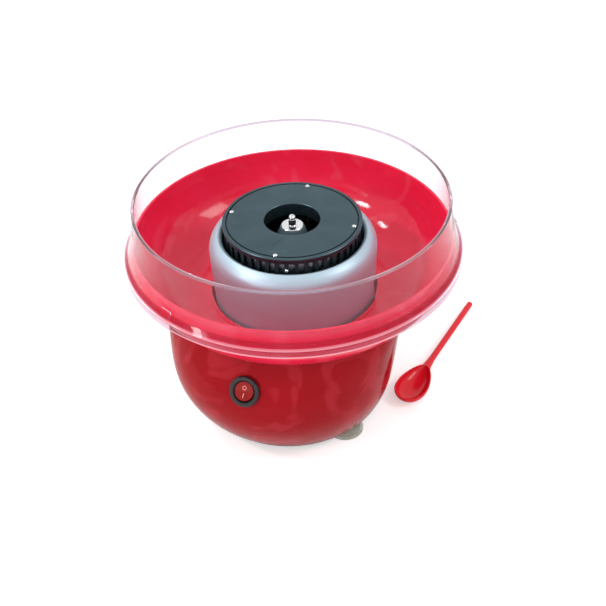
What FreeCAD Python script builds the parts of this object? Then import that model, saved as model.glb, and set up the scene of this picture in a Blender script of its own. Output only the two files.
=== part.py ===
import FreeCAD, Part
import math
import os

import Sketcher

# Tabletop cotton candy machine. Millimetres, +Z up. The spindle stands on the Z axis, the surface that
# the feet stand on is Z = 0 and the switch faces -Y.

SIZES = {
    # feet
    "foot_height": 6.0,
    "foot_cup_radius": 17.0,
    "foot_cup_wall": 1.6,
    "foot_stem_radius": 3.2,
    "foot_button_radius": 5.0,
    "foot_pitch_radius": 76.5,
    # housing: half width, reach to the front, reach to the rear and height of its level rings
    "base_lean": 20.0,
    "heel_lean": 23.7,
    "flank_lean": 28.6,
    "body_lean": 35.3,
    "sole_width": 86.8,
    "rim_width": 5.0,
    "heel_width": 92.2,
    "heel_front": 116.0,
    "heel_rear": 72.6,
    "heel_height": 17.0,
    "flank_width": 97.0,
    "flank_front": 126.0,
    "flank_rear": 77.2,
    "flank_height": 32.0,
    "belly_width": 100.9,
    "belly_front": 133.8,
    "belly_rear": 81.2,
    "belly_height": 52.0,
    "chest_width": 103.2,
    "chest_front": 134.2,
    "chest_rear": 83.6,
    "chest_height": 73.0,
    "brow_width": 104.9,
    "brow_front": 126.9,
    "brow_rear": 85.2,
    "shoulder_width": 107.0,
    "shoulder_front": 115.8,
    "shoulder_rear": 87.2,
    "shoulder_height": 106.0,
    "neck_width": 107.0,
    "neck_front": 101.0,
    "neck_rear": 87.6,
    "neck_height": 122.0,
    "housing_wall": 2.6,
    "deck_wall": 2.6,
    "pad_rise": 0.6,
    "switch_pad_depth": 6.0,
    "post_drop": 8.0,
    "boss_radius": 4.5,
    "boss_length": 24.0,
    # base plate
    "plate_thickness": 2.4,
    "plate_inset": 0.4,
    "vent_count": 12.0,
    "vent_radius": 40.0,
    "vent_width": 5.0,
    "vent_length": 22.0,
    "plate_screw_radius": 1.6,
    "plate_screw_head_radius": 3.2,
    "plate_screw_head_thickness": 1.8,
    "plate_screw_length": 14.0,
    # floss bowl
    "bowl_floor_height": 109.0,
    "bowl_wall": 2.2,
    "bowl_hole_radius": 76.2,
    "bowl_floor_radius": 88.0,
    "bowl_curve_radius": 55.0,
    "bowl_lip_height": 171.0,
    "bowl_flange_height": 158.4,
    "bowl_flange_radius": 148.2,
    "bowl_flange_width": 7.2,
    "bowl_bead_height": 2.0,
    # splash guard
    "guard_fit": 0.3,
    "guard_wall": 1.5,
    "guard_skirt_drop": 6.4,
    "guard_ledge_rise": 0.6,
    "guard_step_width": 4.0,
    "guard_step_height": 5.0,
    "guard_flare_radius": 180.0,
    "guard_lean": 13.0,
    "guard_rim_height": 207.0,
    "guard_bead_width": 2.4,
    "guard_bead_height": 2.2,
    "tab_count": 5.0,
    "tab_width": 12.0,
    "tab_height": 3.0,
    "tab_angle": 42.8,
    # collar
    "collar_foot_radius": 73.6,
    "collar_side_radius": 75.0,
    "collar_side_height": 155.0,
    "collar_shoulder_radius": 17.0,
    "collar_crest_radius": 66.6,
    "collar_crest_height": 169.6,
    "collar_lip_radius": 63.1,
    "collar_lip_height": 166.2,
    "collar_nose_radius": 3.6,
    "collar_throat_height": 162.6,
    "collar_throat_drop": 9.6,
    "collar_inner_curve": 12.0,
    "collar_wall": 2.4,
    "collar_flange_width": 10.0,
    "collar_screw_radius": 1.5,
    # spinning head
    "head_radius": 61.6,
    "head_top_height": 181.7,
    "head_bottom_height": 142.0,
    "lid_thickness": 2.0,
    "groove_radius": 58.1,
    "groove_width": 0.9,
    "groove_depth": 0.7,
    "well_radius": 24.7,
    "well_depth": 12.0,
    "well_wall": 1.4,
    "skirt_wall": 1.8,
    "skirt_inset": 0.9,
    "skirt_height": 33.0,
    "slot_count": 45.0,
    "slot_width": 5.0,
    "slot_height": 22.0,
    "slot_bottom_height": 7.9,
    "pan_wall": 1.4,
    "pan_depth": 8.0,
    "pan_hole_radius": 9.5,
    "mesh_wall": 0.8,
    "mesh_gap": 0.9,
    "mesh_height": 27.0,
    "mesh_hole_count": 30.0,
    "mesh_hole_radius": 1.4,
    "cone_base_radius": 17.0,
    "cone_step_height": 158.0,
    "cone_top_radius": 10.4,
    "cone_top_height": 174.4,
    "washer_radius": 9.8,
    "washer_thickness": 1.2,
    "rivet_pitch_radius": 55.5,
    "rivet_radius": 1.3,
    "rivet_head_radius": 2.0,
    "rivet_head_height": 0.9,
    "rivet_count": 4.0,
    "rivet_angle": 5.0,
    "pin_rivet_radius": 0.9,
    "pin_rivet_head_radius": 1.6,
    "pin_rivet_head_height": 0.7,
    "pin_rivet_height": 169.6,
    "pin_rivet_angle": 285.0,
    # spindle and motor
    "shaft_radius": 3.4,
    "shaft_bottom_height": 23.0,
    "shaft_shoulder_height": 176.6,
    "neck_radius": 2.1,
    "ball_radius": 3.2,
    "ball_top_height": 186.0,
    "snap_ring_radius": 3.3,
    "drive_pin_radius": 1.25,
    "drive_pin_length": 16.0,
    "drive_pin_height": 150.0,
    "can_radius": 26.0,
    "can_wall": 1.5,
    "can_bottom_height": 38.0,
    "can_top_height": 90.0,
    "bearing_radius": 6.5,
    "bearing_length": 7.0,
    "magnet_thickness": 3.2,
    "magnet_height": 30.0,
    "magnet_bottom_height": 50.0,
    "core_radius": 20.6,
    "core_height": 24.0,
    "core_bottom_height": 53.0,
    "core_slot_count": 8.0,
    "core_slot_width": 3.0,
    "core_slot_depth": 9.0,
    "commutator_radius": 7.0,
    "commutator_height": 7.0,
    "commutator_bottom_height": 42.0,
    "brush_width": 4.0,
    "end_cap_thickness": 3.0,
    "motor_screw_radius": 1.5,
    "motor_screw_pitch": 13.0,
    "bracket_radius": 42.0,
    "bracket_thickness": 2.0,
    "isolator_radius": 5.0,
    "isolator_pitch_radius": 35.0,
    "isolator_screw_radius": 1.8,
    "fan_radius": 30.0,
    "fan_hub_radius": 7.5,
    "fan_height": 9.0,
    "fan_blade_count": 8.0,
    "fan_blade_thickness": 1.4,
    "fan_blade_pitch": 35.0,
    # heater
    "reflector_radius": 60.0,
    "reflector_thickness": 0.8,
    "post_radius": 4.5,
    "post_pitch_radius": 48.0,
    "carrier_bottom_height": 124.0,
    "carrier_width": 16.0,
    "element_radius": 48.0,
    "element_rod_radius": 2.8,
    "element_height": 136.0,
    "thermostat_radius": 8.0,
    "thermostat_height": 7.0,
    "thermostat_place": 27.0,
    "fuse_radius": 2.2,
    "fuse_length": 14.0,
    # switch
    "switch_height": 90.0,
    "switch_slope": 28.0,
    "bezel_radius": 13.4,
    "bezel_thickness": 2.4,
    "bezel_edge": 0.9,
    "barrel_radius": 10.6,
    "barrel_length": 16.0,
    "rocker_well_radius": 8.9,
    "rocker_radius": 8.4,
    "rocker_swing_radius": 8.5,
    "rocker_depth": 8.0,
    "rocker_pivot_depth": 0.5,
    "rocker_pin_radius": 1.0,
    "rocker_rise": 2.2,
    "terminal_width": 4.8,
    "terminal_thickness": 0.8,
    "terminal_length": 8.0,
    # cord inlet
    "gland_bore_radius": 3.5,
    "gland_barrel_radius": 6.0,
    "gland_flange_radius": 8.6,
    "gland_flange_thickness": 2.2,
    "gland_length": 14.0,
    # wiring in the base
    "wiring_place": 46.0,
    "wiring_shift": -8.0,
    "block_length": 34.0,
    "block_width": 12.0,
    "block_height": 11.0,
    "board_length": 36.0,
    "board_width": 26.0,
    "board_thickness": 1.6,
    "lead_radius": 1.1,
    "lead_hole_radius": 3.0,
    # sugar scoop
    "scoop_place_across": 115.5,
    "scoop_place_along": -18.0,
    "scoop_turn": 80.0,
    "scoop_bowl_length": 54.0,
    "scoop_bowl_width": 31.0,
    "scoop_bowl_depth": 11.0,
    "scoop_wall": 1.5,
    "scoop_length": 172.0,
    "scoop_handle_radius": 2.8,
    "scoop_handle_slope": 2.45,
    "scoop_neck_radius": 6.4,
    "scoop_neck_length": 36.0,
    # clearances
    "seat_gap": 0.1,
    "part_gap": 0.3,
    "running_gap": 0.05,
}

LEFT = 1
RIGHT = -1

doc = FreeCAD.newDocument("CottonCandyMachine")
sheet = doc.addObject("Spreadsheet::Sheet", "Sizes")
for row, (alias, number) in enumerate(SIZES.items(), start=1):
    sheet.set("A%d" % row, alias)
    sheet.set("B%d" % row, str(number))
    sheet.setAlias("B%d" % row, alias)
doc.recompute()

nodes = []


class Size:
    """A length with its number and the same sum written out for setExpression."""

    def __init__(self, number, text):
        self.number = number
        self.text = text

    def __add__(self, other):
        return joined(self, other, "+", self.number + number_of(other))

    def __sub__(self, other):
        return joined(self, other, "-", self.number - number_of(other))

    def __mul__(self, other):
        return joined(self, other, "*", self.number * number_of(other))

    def __truediv__(self, other):
        return joined(self, other, "/", self.number / number_of(other))

    def __neg__(self):
        return Size(-self.number, "(0 - %s)" % self.text)


def number_of(value):
    return value.number if isinstance(value, Size) else float(value)


def sized(value):
    return value if isinstance(value, Size) else Size(float(value), repr(float(value)))


def text_of(value):
    return value.text if isinstance(value, Size) else repr(float(value))


def joined(first, second, sign, number):
    return Size(number, "(%s %s %s)" % (text_of(first), sign, text_of(second)))


def size(alias):
    return Size(sheet.getPropertyByName(alias), "Sizes." + alias)


def bind(thing, path, value):
    """Ties a property to the sheet, or sets it when it is a plain number."""
    thing.setExpression(path, text_of(value))


def place(thing, across=None, along=None, up=None, turn=None):
    for axis, value in (("x", across), ("y", along), ("z", up)):
        if value is not None:
            bind(thing, "Placement.Base." + axis, value)
    if turn is not None:
        bind(thing, "Placement.Rotation.Angle", turn)
    return thing


def keep(thing, name):
    """Marks an object as a finished sub-part with the given name."""
    for other in doc.getObjectsByLabel(name):
        other.Label = name + "_stage"
    thing.Label = name
    nodes.append(thing)
    return thing


# ---------------------------------------------------------------- sketches and bodies

def origin_part(body, role):
    return [item for item in body.Origin.OriginFeatures if item.Role == role][0]


def new_body(name, many=False):
    body = doc.addObject("PartDesign::Body", name)
    body.AllowCompound = many
    return body


def new_sketch(body, role, shift=None):
    sketch = body.newObject("Sketcher::SketchObject", body.Name + "_sketch")
    sketch.AttachmentSupport = [(origin_part(body, role), "")]
    sketch.MapMode = "FlatFace"
    if shift is not None:
        bind(sketch, "AttachmentOffset.Base.x", shift)
    return sketch


def arc_through(start, end, radius, side):
    """The short arc between two points, with its centre to the left or right of the way it runs."""
    middle = (start + end) * 0.5
    chord = end - start
    rise = math.sqrt(radius * radius - chord.Length * chord.Length / 4.0)
    normal = FreeCAD.Vector(-chord.y, chord.x, 0).normalize() * side
    centre = middle + normal * rise
    first, last = (start, end) if side == LEFT else (end, start)
    angles = [math.atan2(point.y - centre.y, point.x - centre.x) for point in (first, last)]
    circle = Part.Circle(centre, FreeCAD.Vector(0, 0, 1), radius)
    return Part.ArcOfCircle(circle, angles[0], angles[1])


def outline(sketch, steps):
    """Draws a closed outline whose corners are tied to the sheet.

    Each step is (across, up), or (across, up, radius, side) where an arc leads to that corner.
    """
    corners = [FreeCAD.Vector(number_of(step[0]), number_of(step[1]), 0) for step in steps]
    ends = []
    for index, step in enumerate(steps):
        start = corners[index - 1]
        end = corners[index]
        if len(step) == 2:
            edge = sketch.addGeometry(Part.LineSegment(start, end), False)
            ends.append((edge, 1, 2))
        else:
            edge = sketch.addGeometry(arc_through(start, end, number_of(step[2]), step[3]), False)
            ends.append((edge, 1, 2) if step[3] == LEFT else (edge, 2, 1))
            radius = sketch.addConstraint(Sketcher.Constraint("Radius", edge, number_of(step[2])))
            bind(sketch, "Constraints[%d]" % radius, step[2])
    for index, step in enumerate(steps):
        edge, _, end_point = ends[index]
        next_edge, next_start, _ = ends[(index + 1) % len(steps)]
        sketch.addConstraint(Sketcher.Constraint("Coincident", edge, end_point, next_edge, next_start))
        for kind, axis, value in (("DistanceX", -2, step[0]), ("DistanceY", -1, step[1])):
            if not isinstance(value, Size) and value == 0:
                sketch.addConstraint(Sketcher.Constraint("PointOnObject", edge, end_point, axis))
                continue
            fix = Sketcher.Constraint(kind, -1, 1, edge, end_point, number_of(value))
            bind(sketch, "Constraints[%d]" % sketch.addConstraint(fix), value)


def turned(name, steps, role="XZ_Plane", axis="V_Axis"):
    """A body turned about the axis from an outline of (radius, height) corners."""
    body = new_body(name)
    sketch = new_sketch(body, role)
    outline(sketch, steps)
    doc.recompute()
    turn = body.newObject("PartDesign::Revolution", name + "_turn")
    turn.Profile = sketch
    turn.ReferenceAxis = (sketch, [axis])
    turn.Angle = 360
    doc.recompute()
    return body


def ring_of(name, steps, pitch, count, angle=0.0):
    """Separate turned pieces, all alike, standing in a circle round the Z axis."""
    body = new_body(name, many=True)
    sketch = new_sketch(body, "XZ_Plane", pitch)
    outline(sketch, steps)
    doc.recompute()
    turn = body.newObject("PartDesign::Revolution", name + "_turn")
    turn.Profile = sketch
    turn.ReferenceAxis = (sketch, ["V_Axis"])
    turn.Angle = 360
    doc.recompute()
    pattern(body, turn, count)
    place(body, turn=angle)
    return body


def pattern(body, feature, count):
    """Repeats a feature evenly round the body's own Z axis."""
    ring = body.newObject("PartDesign::PolarPattern", feature.Name + "_ring")
    ring.Originals = [feature]
    ring.Axis = (origin_part(body, "Z_Axis"), [""])
    ring.Angle = 360
    bind(ring, "Occurrences", count)
    body.Tip = ring
    doc.recompute()
    return ring


def pocket(body, role, steps, depth, both_ways=True):
    """Cuts an outline through the body, to both sides of the plane it is drawn on."""
    sketch = new_sketch(body, role)
    outline(sketch, steps)
    doc.recompute()
    before = body.Shape.Volume
    cut = body.newObject("PartDesign::Pocket", sketch.Name + "_pocket")
    cut.Profile = sketch
    cut.Type = "Length"
    cut.Midplane = both_ways
    bind(cut, "Length", depth)
    doc.recompute()
    if body.Shape.Volume >= before:
        raise RuntimeError(body.Name + ": a pocket cuts nothing")
    return cut


def rectangle(left, right, bottom, top):
    return [(left, bottom), (right, bottom), (right, top), (left, top)]


# ---------------------------------------------------------------- primitives and booleans

AXIS_ROTATION = {
    "x": FreeCAD.Rotation(FreeCAD.Vector(0, 1, 0), 90),
    "y": FreeCAD.Rotation(FreeCAD.Vector(1, 0, 0), -90),
    "inward": FreeCAD.Rotation(FreeCAD.Vector(1, 0, 0), -90 - SIZES["switch_slope"]),
    "z": FreeCAD.Rotation(),
}


def cylinder(name, radius, height, across=0.0, along=0.0, up=0.0, axis="z"):
    thing = doc.addObject("Part::Cylinder", name)
    bind(thing, "Radius", radius)
    bind(thing, "Height", height)
    thing.Placement = FreeCAD.Placement(FreeCAD.Vector(), AXIS_ROTATION[axis])
    return place(thing, across, along, up)


def box(name, length, width, height, across, along, up):
    """A box centred on a point, standing on its height, with its length along X and its width along Y."""
    thing = doc.addObject("Part::Box", name)
    bind(thing, "Length", length)
    bind(thing, "Width", width)
    bind(thing, "Height", height)
    return place(thing, sized(across) - sized(length) / 2.0, sized(along) - sized(width) / 2.0, up)


def fused(name, things):
    thing = doc.addObject("Part::MultiFuse", name)
    thing.Shapes = things
    thing.Refine = True
    return thing


def compound(name, things):
    thing = doc.addObject("Part::Compound", name)
    thing.Links = things
    return thing


def cut_from(name, base, tool):
    thing = doc.addObject("Part::Cut", name)
    thing.Base = base
    thing.Tool = tool
    return thing


def shared(name, first, second):
    thing = doc.addObject("Part::Common", name)
    thing.Base = first
    thing.Tool = second
    return thing


def tube(name, outer, inner, height, across=0.0, along=0.0, up=0.0, axis="z"):
    """A hollow cylinder, open at both ends."""
    return cut_from(name, cylinder(name + "_outer", outer, height, across, along, up, axis),
                    cylinder(name + "_inner", inner, height, across, along, up, axis))


def round_the_axis(radius, angle_degrees, centre_along=0.0):
    """The place of a point on a circle, as two sizes."""
    angle = math.radians(angle_degrees)
    along = radius * math.sin(angle)
    return radius * math.cos(angle), along + centre_along


seat_gap = size("seat_gap")
part_gap = size("part_gap")
running_gap = size("running_gap")
axis_offset = -size("base_lean")
FOOT_ANGLES = {"foot_front_left": 210.0, "foot_front_right": 330.0, "foot_rear": 90.0}
PLATE_SCREW_ANGLES = (30.0, 150.0, 270.0)
DECK_SCREW_COUNT = 3


# ---------------------------------------------------------------- base housing

BODY_RINGS = ("heel", "flank", "belly", "chest", "brow")
RING_LEANS = {"heel": "heel_lean", "flank": "flank_lean"}
RING_POINTS = 24
FINGER_ROOM = 3.0


def rounded_body(name, rings):
    """An egg-shaped solid through level rings, each widest a little forward of the axis."""
    sections = []
    for index, (width, front, rear, lean, height) in enumerate(rings):
        points = []
        for step in range(RING_POINTS):
            turn = math.pi * 2.0 * step / RING_POINTS
            reach = rear + lean if math.sin(turn) > 0.0 else front - lean
            points.append(FreeCAD.Vector(width.number * math.cos(turn), reach.number * math.sin(turn), 0.0))
        line = Part.BSplineCurve()
        line.interpolate(Points=points, PeriodicFlag=True)
        section = doc.addObject("Part::Feature", "%s_section_%d" % (name, index))
        section.Shape = Part.Wire(line.toShape())
        sections.append(place(section, along=-lean, up=height))
    body = doc.addObject("Part::Loft", name)
    body.Sections = sections
    body.Solid = True
    return body


def sole_ring(inset, height):
    """The round ring at the bottom of the housing, which the plate closes."""
    width = size("sole_width") - inset
    return width, width + size("base_lean"), width - size("base_lean"), size("base_lean"), height


def body_ring(word, inset):
    """A ring of the housing, drawn in by a wall where it is the inner one."""
    height = "switch_height" if word == "brow" else word + "_height"
    return (size(word + "_width") - inset, size(word + "_front") - inset, size(word + "_rear") - inset,
            size(RING_LEANS.get(word, "body_lean")), size(height))


def ceiling_ring(inset):
    """The inner ring under the deck, between the brow and the shoulder."""
    share = (deck_underside() - size("switch_height")) / (size("shoulder_height") - size("switch_height"))
    return tuple(low + (high - low) * share
                 for low, high in zip(body_ring("brow", inset), body_ring("shoulder", inset)))


def bowl_lip_radius():
    return size("bowl_flange_radius") - size("bowl_flange_width")


def bowl_underside(gap):
    """Corners of the bowl's lower surface, from its hole outwards, let down by a gap."""
    floor = size("bowl_floor_height") - size("bowl_wall") - gap
    flange = size("bowl_flange_height") - size("bowl_wall") - gap
    curve = size("bowl_curve_radius") + gap
    return floor, flange, curve


def bowl_nest(name):
    """Everything above the surface that the bowl nests on, as a turned solid."""
    floor, flange, curve = bowl_underside(part_gap)
    brim = bowl_lip_radius() + part_gap
    far = guard_radius() + FINGER_ROOM
    limit = size("guard_rim_height")
    steps = [(0, floor), (size("bowl_floor_radius"), floor), (brim, flange, curve, LEFT), (far, flange),
             (far, limit), (0, limit)]
    return turned(name, steps)


def base_housing():
    """Moulded shell with a dished deck on top, which the bowl nests in."""
    wall = size("housing_wall")
    outer = rounded_body("housing_outer", [sole_ring(0.0, size("foot_height"))]
                         + [body_ring(word, 0.0) for word in BODY_RINGS + ("shoulder", "neck")])
    room = rounded_body("housing_room", [sole_ring(size("rim_width"), plate_top() + seat_gap)]
                        + [body_ring(word, wall) for word in BODY_RINGS] + [ceiling_ring(wall)])
    recess = cylinder("plate_recess", plate_radius() + 0.4, size("foot_height"), 0.0, axis_offset,
                      plate_top() + seat_gap - size("foot_height"))
    switch_pad = cylinder("switch_pad", size("bezel_radius") + 0.5, size("switch_pad_depth"), 0.0,
                          *switch_point(0.0), axis="inward")
    gland_pad = cylinder("gland_pad", size("gland_flange_radius") + 1.0, size("gland_length") - 4.0, 0.0,
                         rear_face() - size("gland_length") + 4.0, size("belly_height"), "y")
    hollow = fused("housing_hollow", [room, recess])
    shell = cut_from("housing_shell", outer, compound("housing_cuts", [bowl_nest("housing_nest"), hollow]))
    bosses = [cylinder("boss_%d" % angle, size("boss_radius"), size("boss_length"),
                       *round_the_axis(boss_pitch(), angle, axis_offset), up=plate_top() + seat_gap)
              for angle in PLATE_SCREW_ANGLES]
    deck_posts = [cylinder("deck_post_%d" % index, size("isolator_radius"), size("post_drop"),
                           *round_the_axis(size("isolator_pitch_radius"), 120.0 * index + 30.0),
                           up=deck_underside() - size("post_drop") + 1.0)
                  for index in range(DECK_SCREW_COUNT)]
    solid = fused("housing_solid", [shell, switch_pad, gland_pad] + bosses + deck_posts)
    holes = [
        cylinder("spindle_hole", size("bearing_radius") + 2.0, 40.0, up=deck_underside() - 20.0),
        cylinder("switch_hole", size("barrel_radius") + seat_gap, 30.0, 0.0, *switch_point(-5.0),
                 axis="inward"),
        cylinder("gland_hole", size("gland_barrel_radius") + seat_gap, 30.0, 0.0,
                 rear_face() - 25.0, size("belly_height"), "y"),
    ]
    holes.append(cylinder("lead_hole", size("lead_hole_radius"), 20.0, -lead_place(), 0.0,
                          deck_underside() - 10.0))
    for index in range(DECK_SCREW_COUNT):
        holes.append(cylinder("collar_screw_hole_%d" % index, size("collar_screw_radius") + seat_gap, 20.0,
                              *round_the_axis(collar_screw_pitch(), 120.0 * index),
                              up=deck_underside() - 10.0))
        holes.append(cylinder("post_bore_%d" % index, size("isolator_screw_radius"), size("post_drop"),
                              *round_the_axis(size("isolator_pitch_radius"), 120.0 * index + 30.0),
                              up=deck_underside() - size("post_drop")))
    for angle in PLATE_SCREW_ANGLES:
        holes.append(cylinder("boss_bore_%d" % angle, size("plate_screw_radius"), size("boss_length") - 4.0,
                              *round_the_axis(boss_pitch(), angle, axis_offset), up=plate_top()))
    keep(cut_from("base_housing", solid, fused("housing_holes", holes)), "base_housing")


def deck_top():
    return bowl_underside(part_gap)[0]


def deck_underside():
    return deck_top() - size("deck_wall")


def lead_place():
    """How far from the spindle the heater's lead goes up through the deck."""
    return size("bracket_radius") + size("lead_hole_radius") + 6.0


def front_face():
    return -(size("brow_front") + size("pad_rise"))


def rear_face():
    return size("belly_rear") + size("pad_rise") * 2.0


def switch_point(depth, rise=0.0):
    """Place of a point behind the sloping switch face, at a depth along its axis and a rise along it."""
    slope = math.radians(SIZES["switch_slope"])
    return (front_face() + sized(depth) * math.cos(slope) + sized(rise) * math.sin(slope),
            size("switch_height") - sized(depth) * math.sin(slope) + sized(rise) * math.cos(slope))


def at_switch(thing, turn=0.0):
    """Leans a piece drawn for an upright face back to the slope of the switch face and puts it there."""
    rotation = FreeCAD.Rotation(FreeCAD.Vector(1, 0, 0), turn - SIZES["switch_slope"])
    thing.Placement = FreeCAD.Placement(FreeCAD.Vector(), rotation)
    along, up = switch_point(0.0)
    return place(thing, along=along, up=up)


def plate_radius():
    return size("sole_width") - size("housing_wall") - 0.4


def plate_bottom():
    return size("foot_height") + size("plate_inset")


def plate_top():
    return plate_bottom() + size("plate_thickness")


def boss_pitch():
    return size("sole_width") - size("housing_wall") - size("boss_radius") + 0.6


def collar_screw_pitch():
    return size("collar_foot_radius") - size("collar_wall") - size("collar_flange_width") / 2.0


# ---------------------------------------------------------------- base plate and feet

def base_plate():
    """Flat plate that closes the housing from below, with cooling slots and screw holes."""
    edge = plate_radius()
    body = new_body("base_plate")
    sketch = new_sketch(body, "XY_Plane")
    ring = sketch.addGeometry(Part.Circle(FreeCAD.Vector(), FreeCAD.Vector(0, 0, 1), number_of(edge)), False)
    sketch.addConstraint(Sketcher.Constraint("Coincident", ring, 3, -1, 1))
    bind(sketch, "Constraints[%d]" % sketch.addConstraint(
        Sketcher.Constraint("Radius", ring, number_of(edge))), edge)
    doc.recompute()
    pad = body.newObject("PartDesign::Pad", "base_plate_pad")
    pad.Profile = sketch
    bind(pad, "Length", size("plate_thickness"))
    doc.recompute()
    start = size("vent_radius") - size("vent_length") / 2.0
    half = size("vent_width") / 2.0
    slots = pocket(body, "XY_Plane", rectangle(start, start + size("vent_length"), -half, half),
                   size("plate_thickness") * 3.0)
    pattern(body, slots, size("vent_count"))
    place(body, along=axis_offset, up=plate_bottom())
    holes = [cylinder("stem_hole_%d" % angle, size("foot_stem_radius") + seat_gap, 20.0,
                      *round_the_axis(size("foot_pitch_radius"), angle, axis_offset), up=0.0)
             for angle in FOOT_ANGLES.values()]
    holes += [cylinder("plate_screw_hole_%d" % angle, size("plate_screw_radius") + seat_gap, 20.0,
                       *round_the_axis(boss_pitch(), angle, axis_offset), up=0.0)
              for angle in PLATE_SCREW_ANGLES]
    keep(cut_from("plate_drilled", body, fused("plate_holes", holes)), "base_plate")


def plate_screws():
    """Pan head screws that hold the plate to the bosses of the housing."""
    head = size("plate_screw_head_thickness")
    under = plate_bottom() - seat_gap
    shank = size("plate_screw_radius") - seat_gap
    steps = [(0, under - head), (size("plate_screw_head_radius") - 0.6, under - head),
             (size("plate_screw_head_radius"), under - head + 0.6), (size("plate_screw_head_radius"), under),
             (shank, under), (shank, under + size("plate_screw_length")),
             (0, under + size("plate_screw_length"))]
    screws = ring_of("plate_screws_body", steps, boss_pitch(), len(PLATE_SCREW_ANGLES),
                     PLATE_SCREW_ANGLES[0])
    keep(place(screws, along=axis_offset), "plate_screws")


def feet():
    """Soft clear suction cups, buttoned through the plate."""
    cup = size("foot_cup_radius")
    wall = size("foot_cup_wall")
    stem = size("foot_stem_radius")
    button = size("foot_button_radius")
    under = plate_bottom() - seat_gap
    over = plate_top() + seat_gap
    steps = [(0, wall), (cup - 6.0, wall * 0.8), (cup - 3.0, 0), (cup, 0), (cup, 0.8),
             (stem + 4.0, under - 0.6), (stem + 3.0, under), (stem, under), (stem, over), (button, over),
             (button - 0.6, over + 1.8), (0, over + 1.8)]
    for name, angle in FOOT_ANGLES.items():
        body = turned(name, steps)
        across, along = round_the_axis(size("foot_pitch_radius"), angle, axis_offset)
        keep(place(body, across, along), name)


# ---------------------------------------------------------------- bowl and splash guard

def guard_radius():
    return size("bowl_flange_radius") + size("guard_fit") + size("guard_wall")


def floss_bowl():
    """Deep pan that catches the floss: flat floor round the collar, a round wall and a flange."""
    floor, flange, curve = bowl_underside(0.0)
    wall = size("bowl_wall")
    hole = size("bowl_hole_radius")
    lip = bowl_lip_radius()
    inner = lip - wall
    top = size("bowl_floor_height")
    rim = size("bowl_flange_height")
    steps = [(hole, floor), (size("bowl_floor_radius"), floor), (lip, flange, curve, LEFT),
             (size("bowl_flange_radius"), flange), (size("bowl_flange_radius"), rim), (lip, rim),
             (lip, size("bowl_lip_height")), (inner, size("bowl_lip_height")), (inner, rim),
             (size("bowl_floor_radius"), top, curve - wall, RIGHT), (hole + wall, top),
             (hole + wall, top + size("bowl_bead_height")), (hole, top + size("bowl_bead_height"))]
    keep(turned("floss_bowl", steps), "floss_bowl")


def splash_guard():
    """Clear ring that slips over the flange of the bowl, with small locating tabs on its ledge."""
    wall = size("guard_wall")
    outer = guard_radius()
    skirt = size("bowl_flange_height") - size("guard_skirt_drop")
    ledge = size("bowl_flange_height") + size("guard_ledge_rise")
    foot = outer - size("guard_step_width")
    foot_height = ledge + size("guard_step_height")
    rim = outer - size("guard_lean")
    top = size("guard_rim_height")
    bead = size("guard_bead_width")
    neck = top - size("guard_bead_height")
    flare = size("guard_flare_radius")
    steps = [(outer - wall, skirt), (outer, skirt), (outer, ledge), (foot, foot_height),
             (rim, neck, flare, RIGHT), (rim + 0.5, neck + 0.6), (rim + 0.5, top - 0.6), (rim, top),
             (rim - bead + 0.5, top), (rim - bead, top - 0.6), (rim - bead, neck + 0.5),
             (rim - wall, neck), (foot - wall, foot_height - 0.4, flare + wall, LEFT),
             (outer - wall, ledge - 0.5)]
    body = turned("splash_guard", steps)
    half = size("tab_width") / 2.0
    sketch = new_sketch(body, "XZ_Plane")
    reach = outer - 0.3
    inner = foot - wall / 2.0
    outline(sketch, [(inner, foot_height - wall / 2.0), (reach - wall / 2.0, ledge - 0.6),
                     (reach, ledge + size("tab_height") / 2.0), (inner, foot_height + size("tab_height"))])
    doc.recompute()
    tab = body.newObject("PartDesign::Revolution", "tab_turn")
    tab.Profile = sketch
    tab.ReferenceAxis = (sketch, ["V_Axis"])
    tab.Midplane = True
    bind(tab, "Angle", half * 2.0 / outer * (180.0 / math.pi))
    doc.recompute()
    pattern(body, tab, size("tab_count"))
    keep(place(body, turn=-size("tab_angle")), "splash_guard")


# ---------------------------------------------------------------- collar

def collar():
    """Silver ring with a rolled top edge that stands round the spinning head."""
    foot = size("collar_foot_radius")
    side = size("collar_side_radius")
    wall = size("collar_wall")
    seat = deck_top() + seat_gap
    flange_top = seat + wall
    steps = [(foot, seat), (side, size("collar_side_height")),
             (size("collar_crest_radius"), size("collar_crest_height"), size("collar_shoulder_radius"), LEFT),
             (size("collar_lip_radius"), size("collar_lip_height"), size("collar_nose_radius"), LEFT),
             (size("collar_lip_radius"), size("collar_throat_height")),
             (size("collar_lip_radius") + wall, size("collar_throat_height")),
             (side - wall, size("collar_throat_height") - size("collar_throat_drop"),
              size("collar_inner_curve"), RIGHT),
             (foot - wall, flange_top), (foot - size("collar_flange_width") - wall, flange_top),
             (foot - size("collar_flange_width") - wall, seat)]
    body = turned("collar_body", steps)
    holes = [cylinder("collar_bore_%d" % index, size("collar_screw_radius") - seat_gap / 2.0, 20.0,
                      *round_the_axis(collar_screw_pitch(), 120.0 * index), up=deck_underside())
             for index in range(DECK_SCREW_COUNT)]
    keep(cut_from("collar_drilled", body, fused("collar_holes", holes)), "collar")


def collar_screws():
    """Screws from below the deck into the flange of the collar."""
    under = deck_underside() - seat_gap
    shank = size("collar_screw_radius") - seat_gap
    head = shank * 2.0
    top = under + size("collar_wall") + size("deck_wall") + seat_gap * 2.0
    steps = [(0, under - 2.0), (head - 0.5, under - 2.0), (head, under - 1.4), (head, under),
             (shank, under), (shank, top), (0, top)]
    keep(ring_of("collar_screws_body", steps, collar_screw_pitch(), DECK_SCREW_COUNT), "collar_screws")


# ---------------------------------------------------------------- spinning head

def lid_underside():
    return size("head_top_height") - size("lid_thickness")


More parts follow.
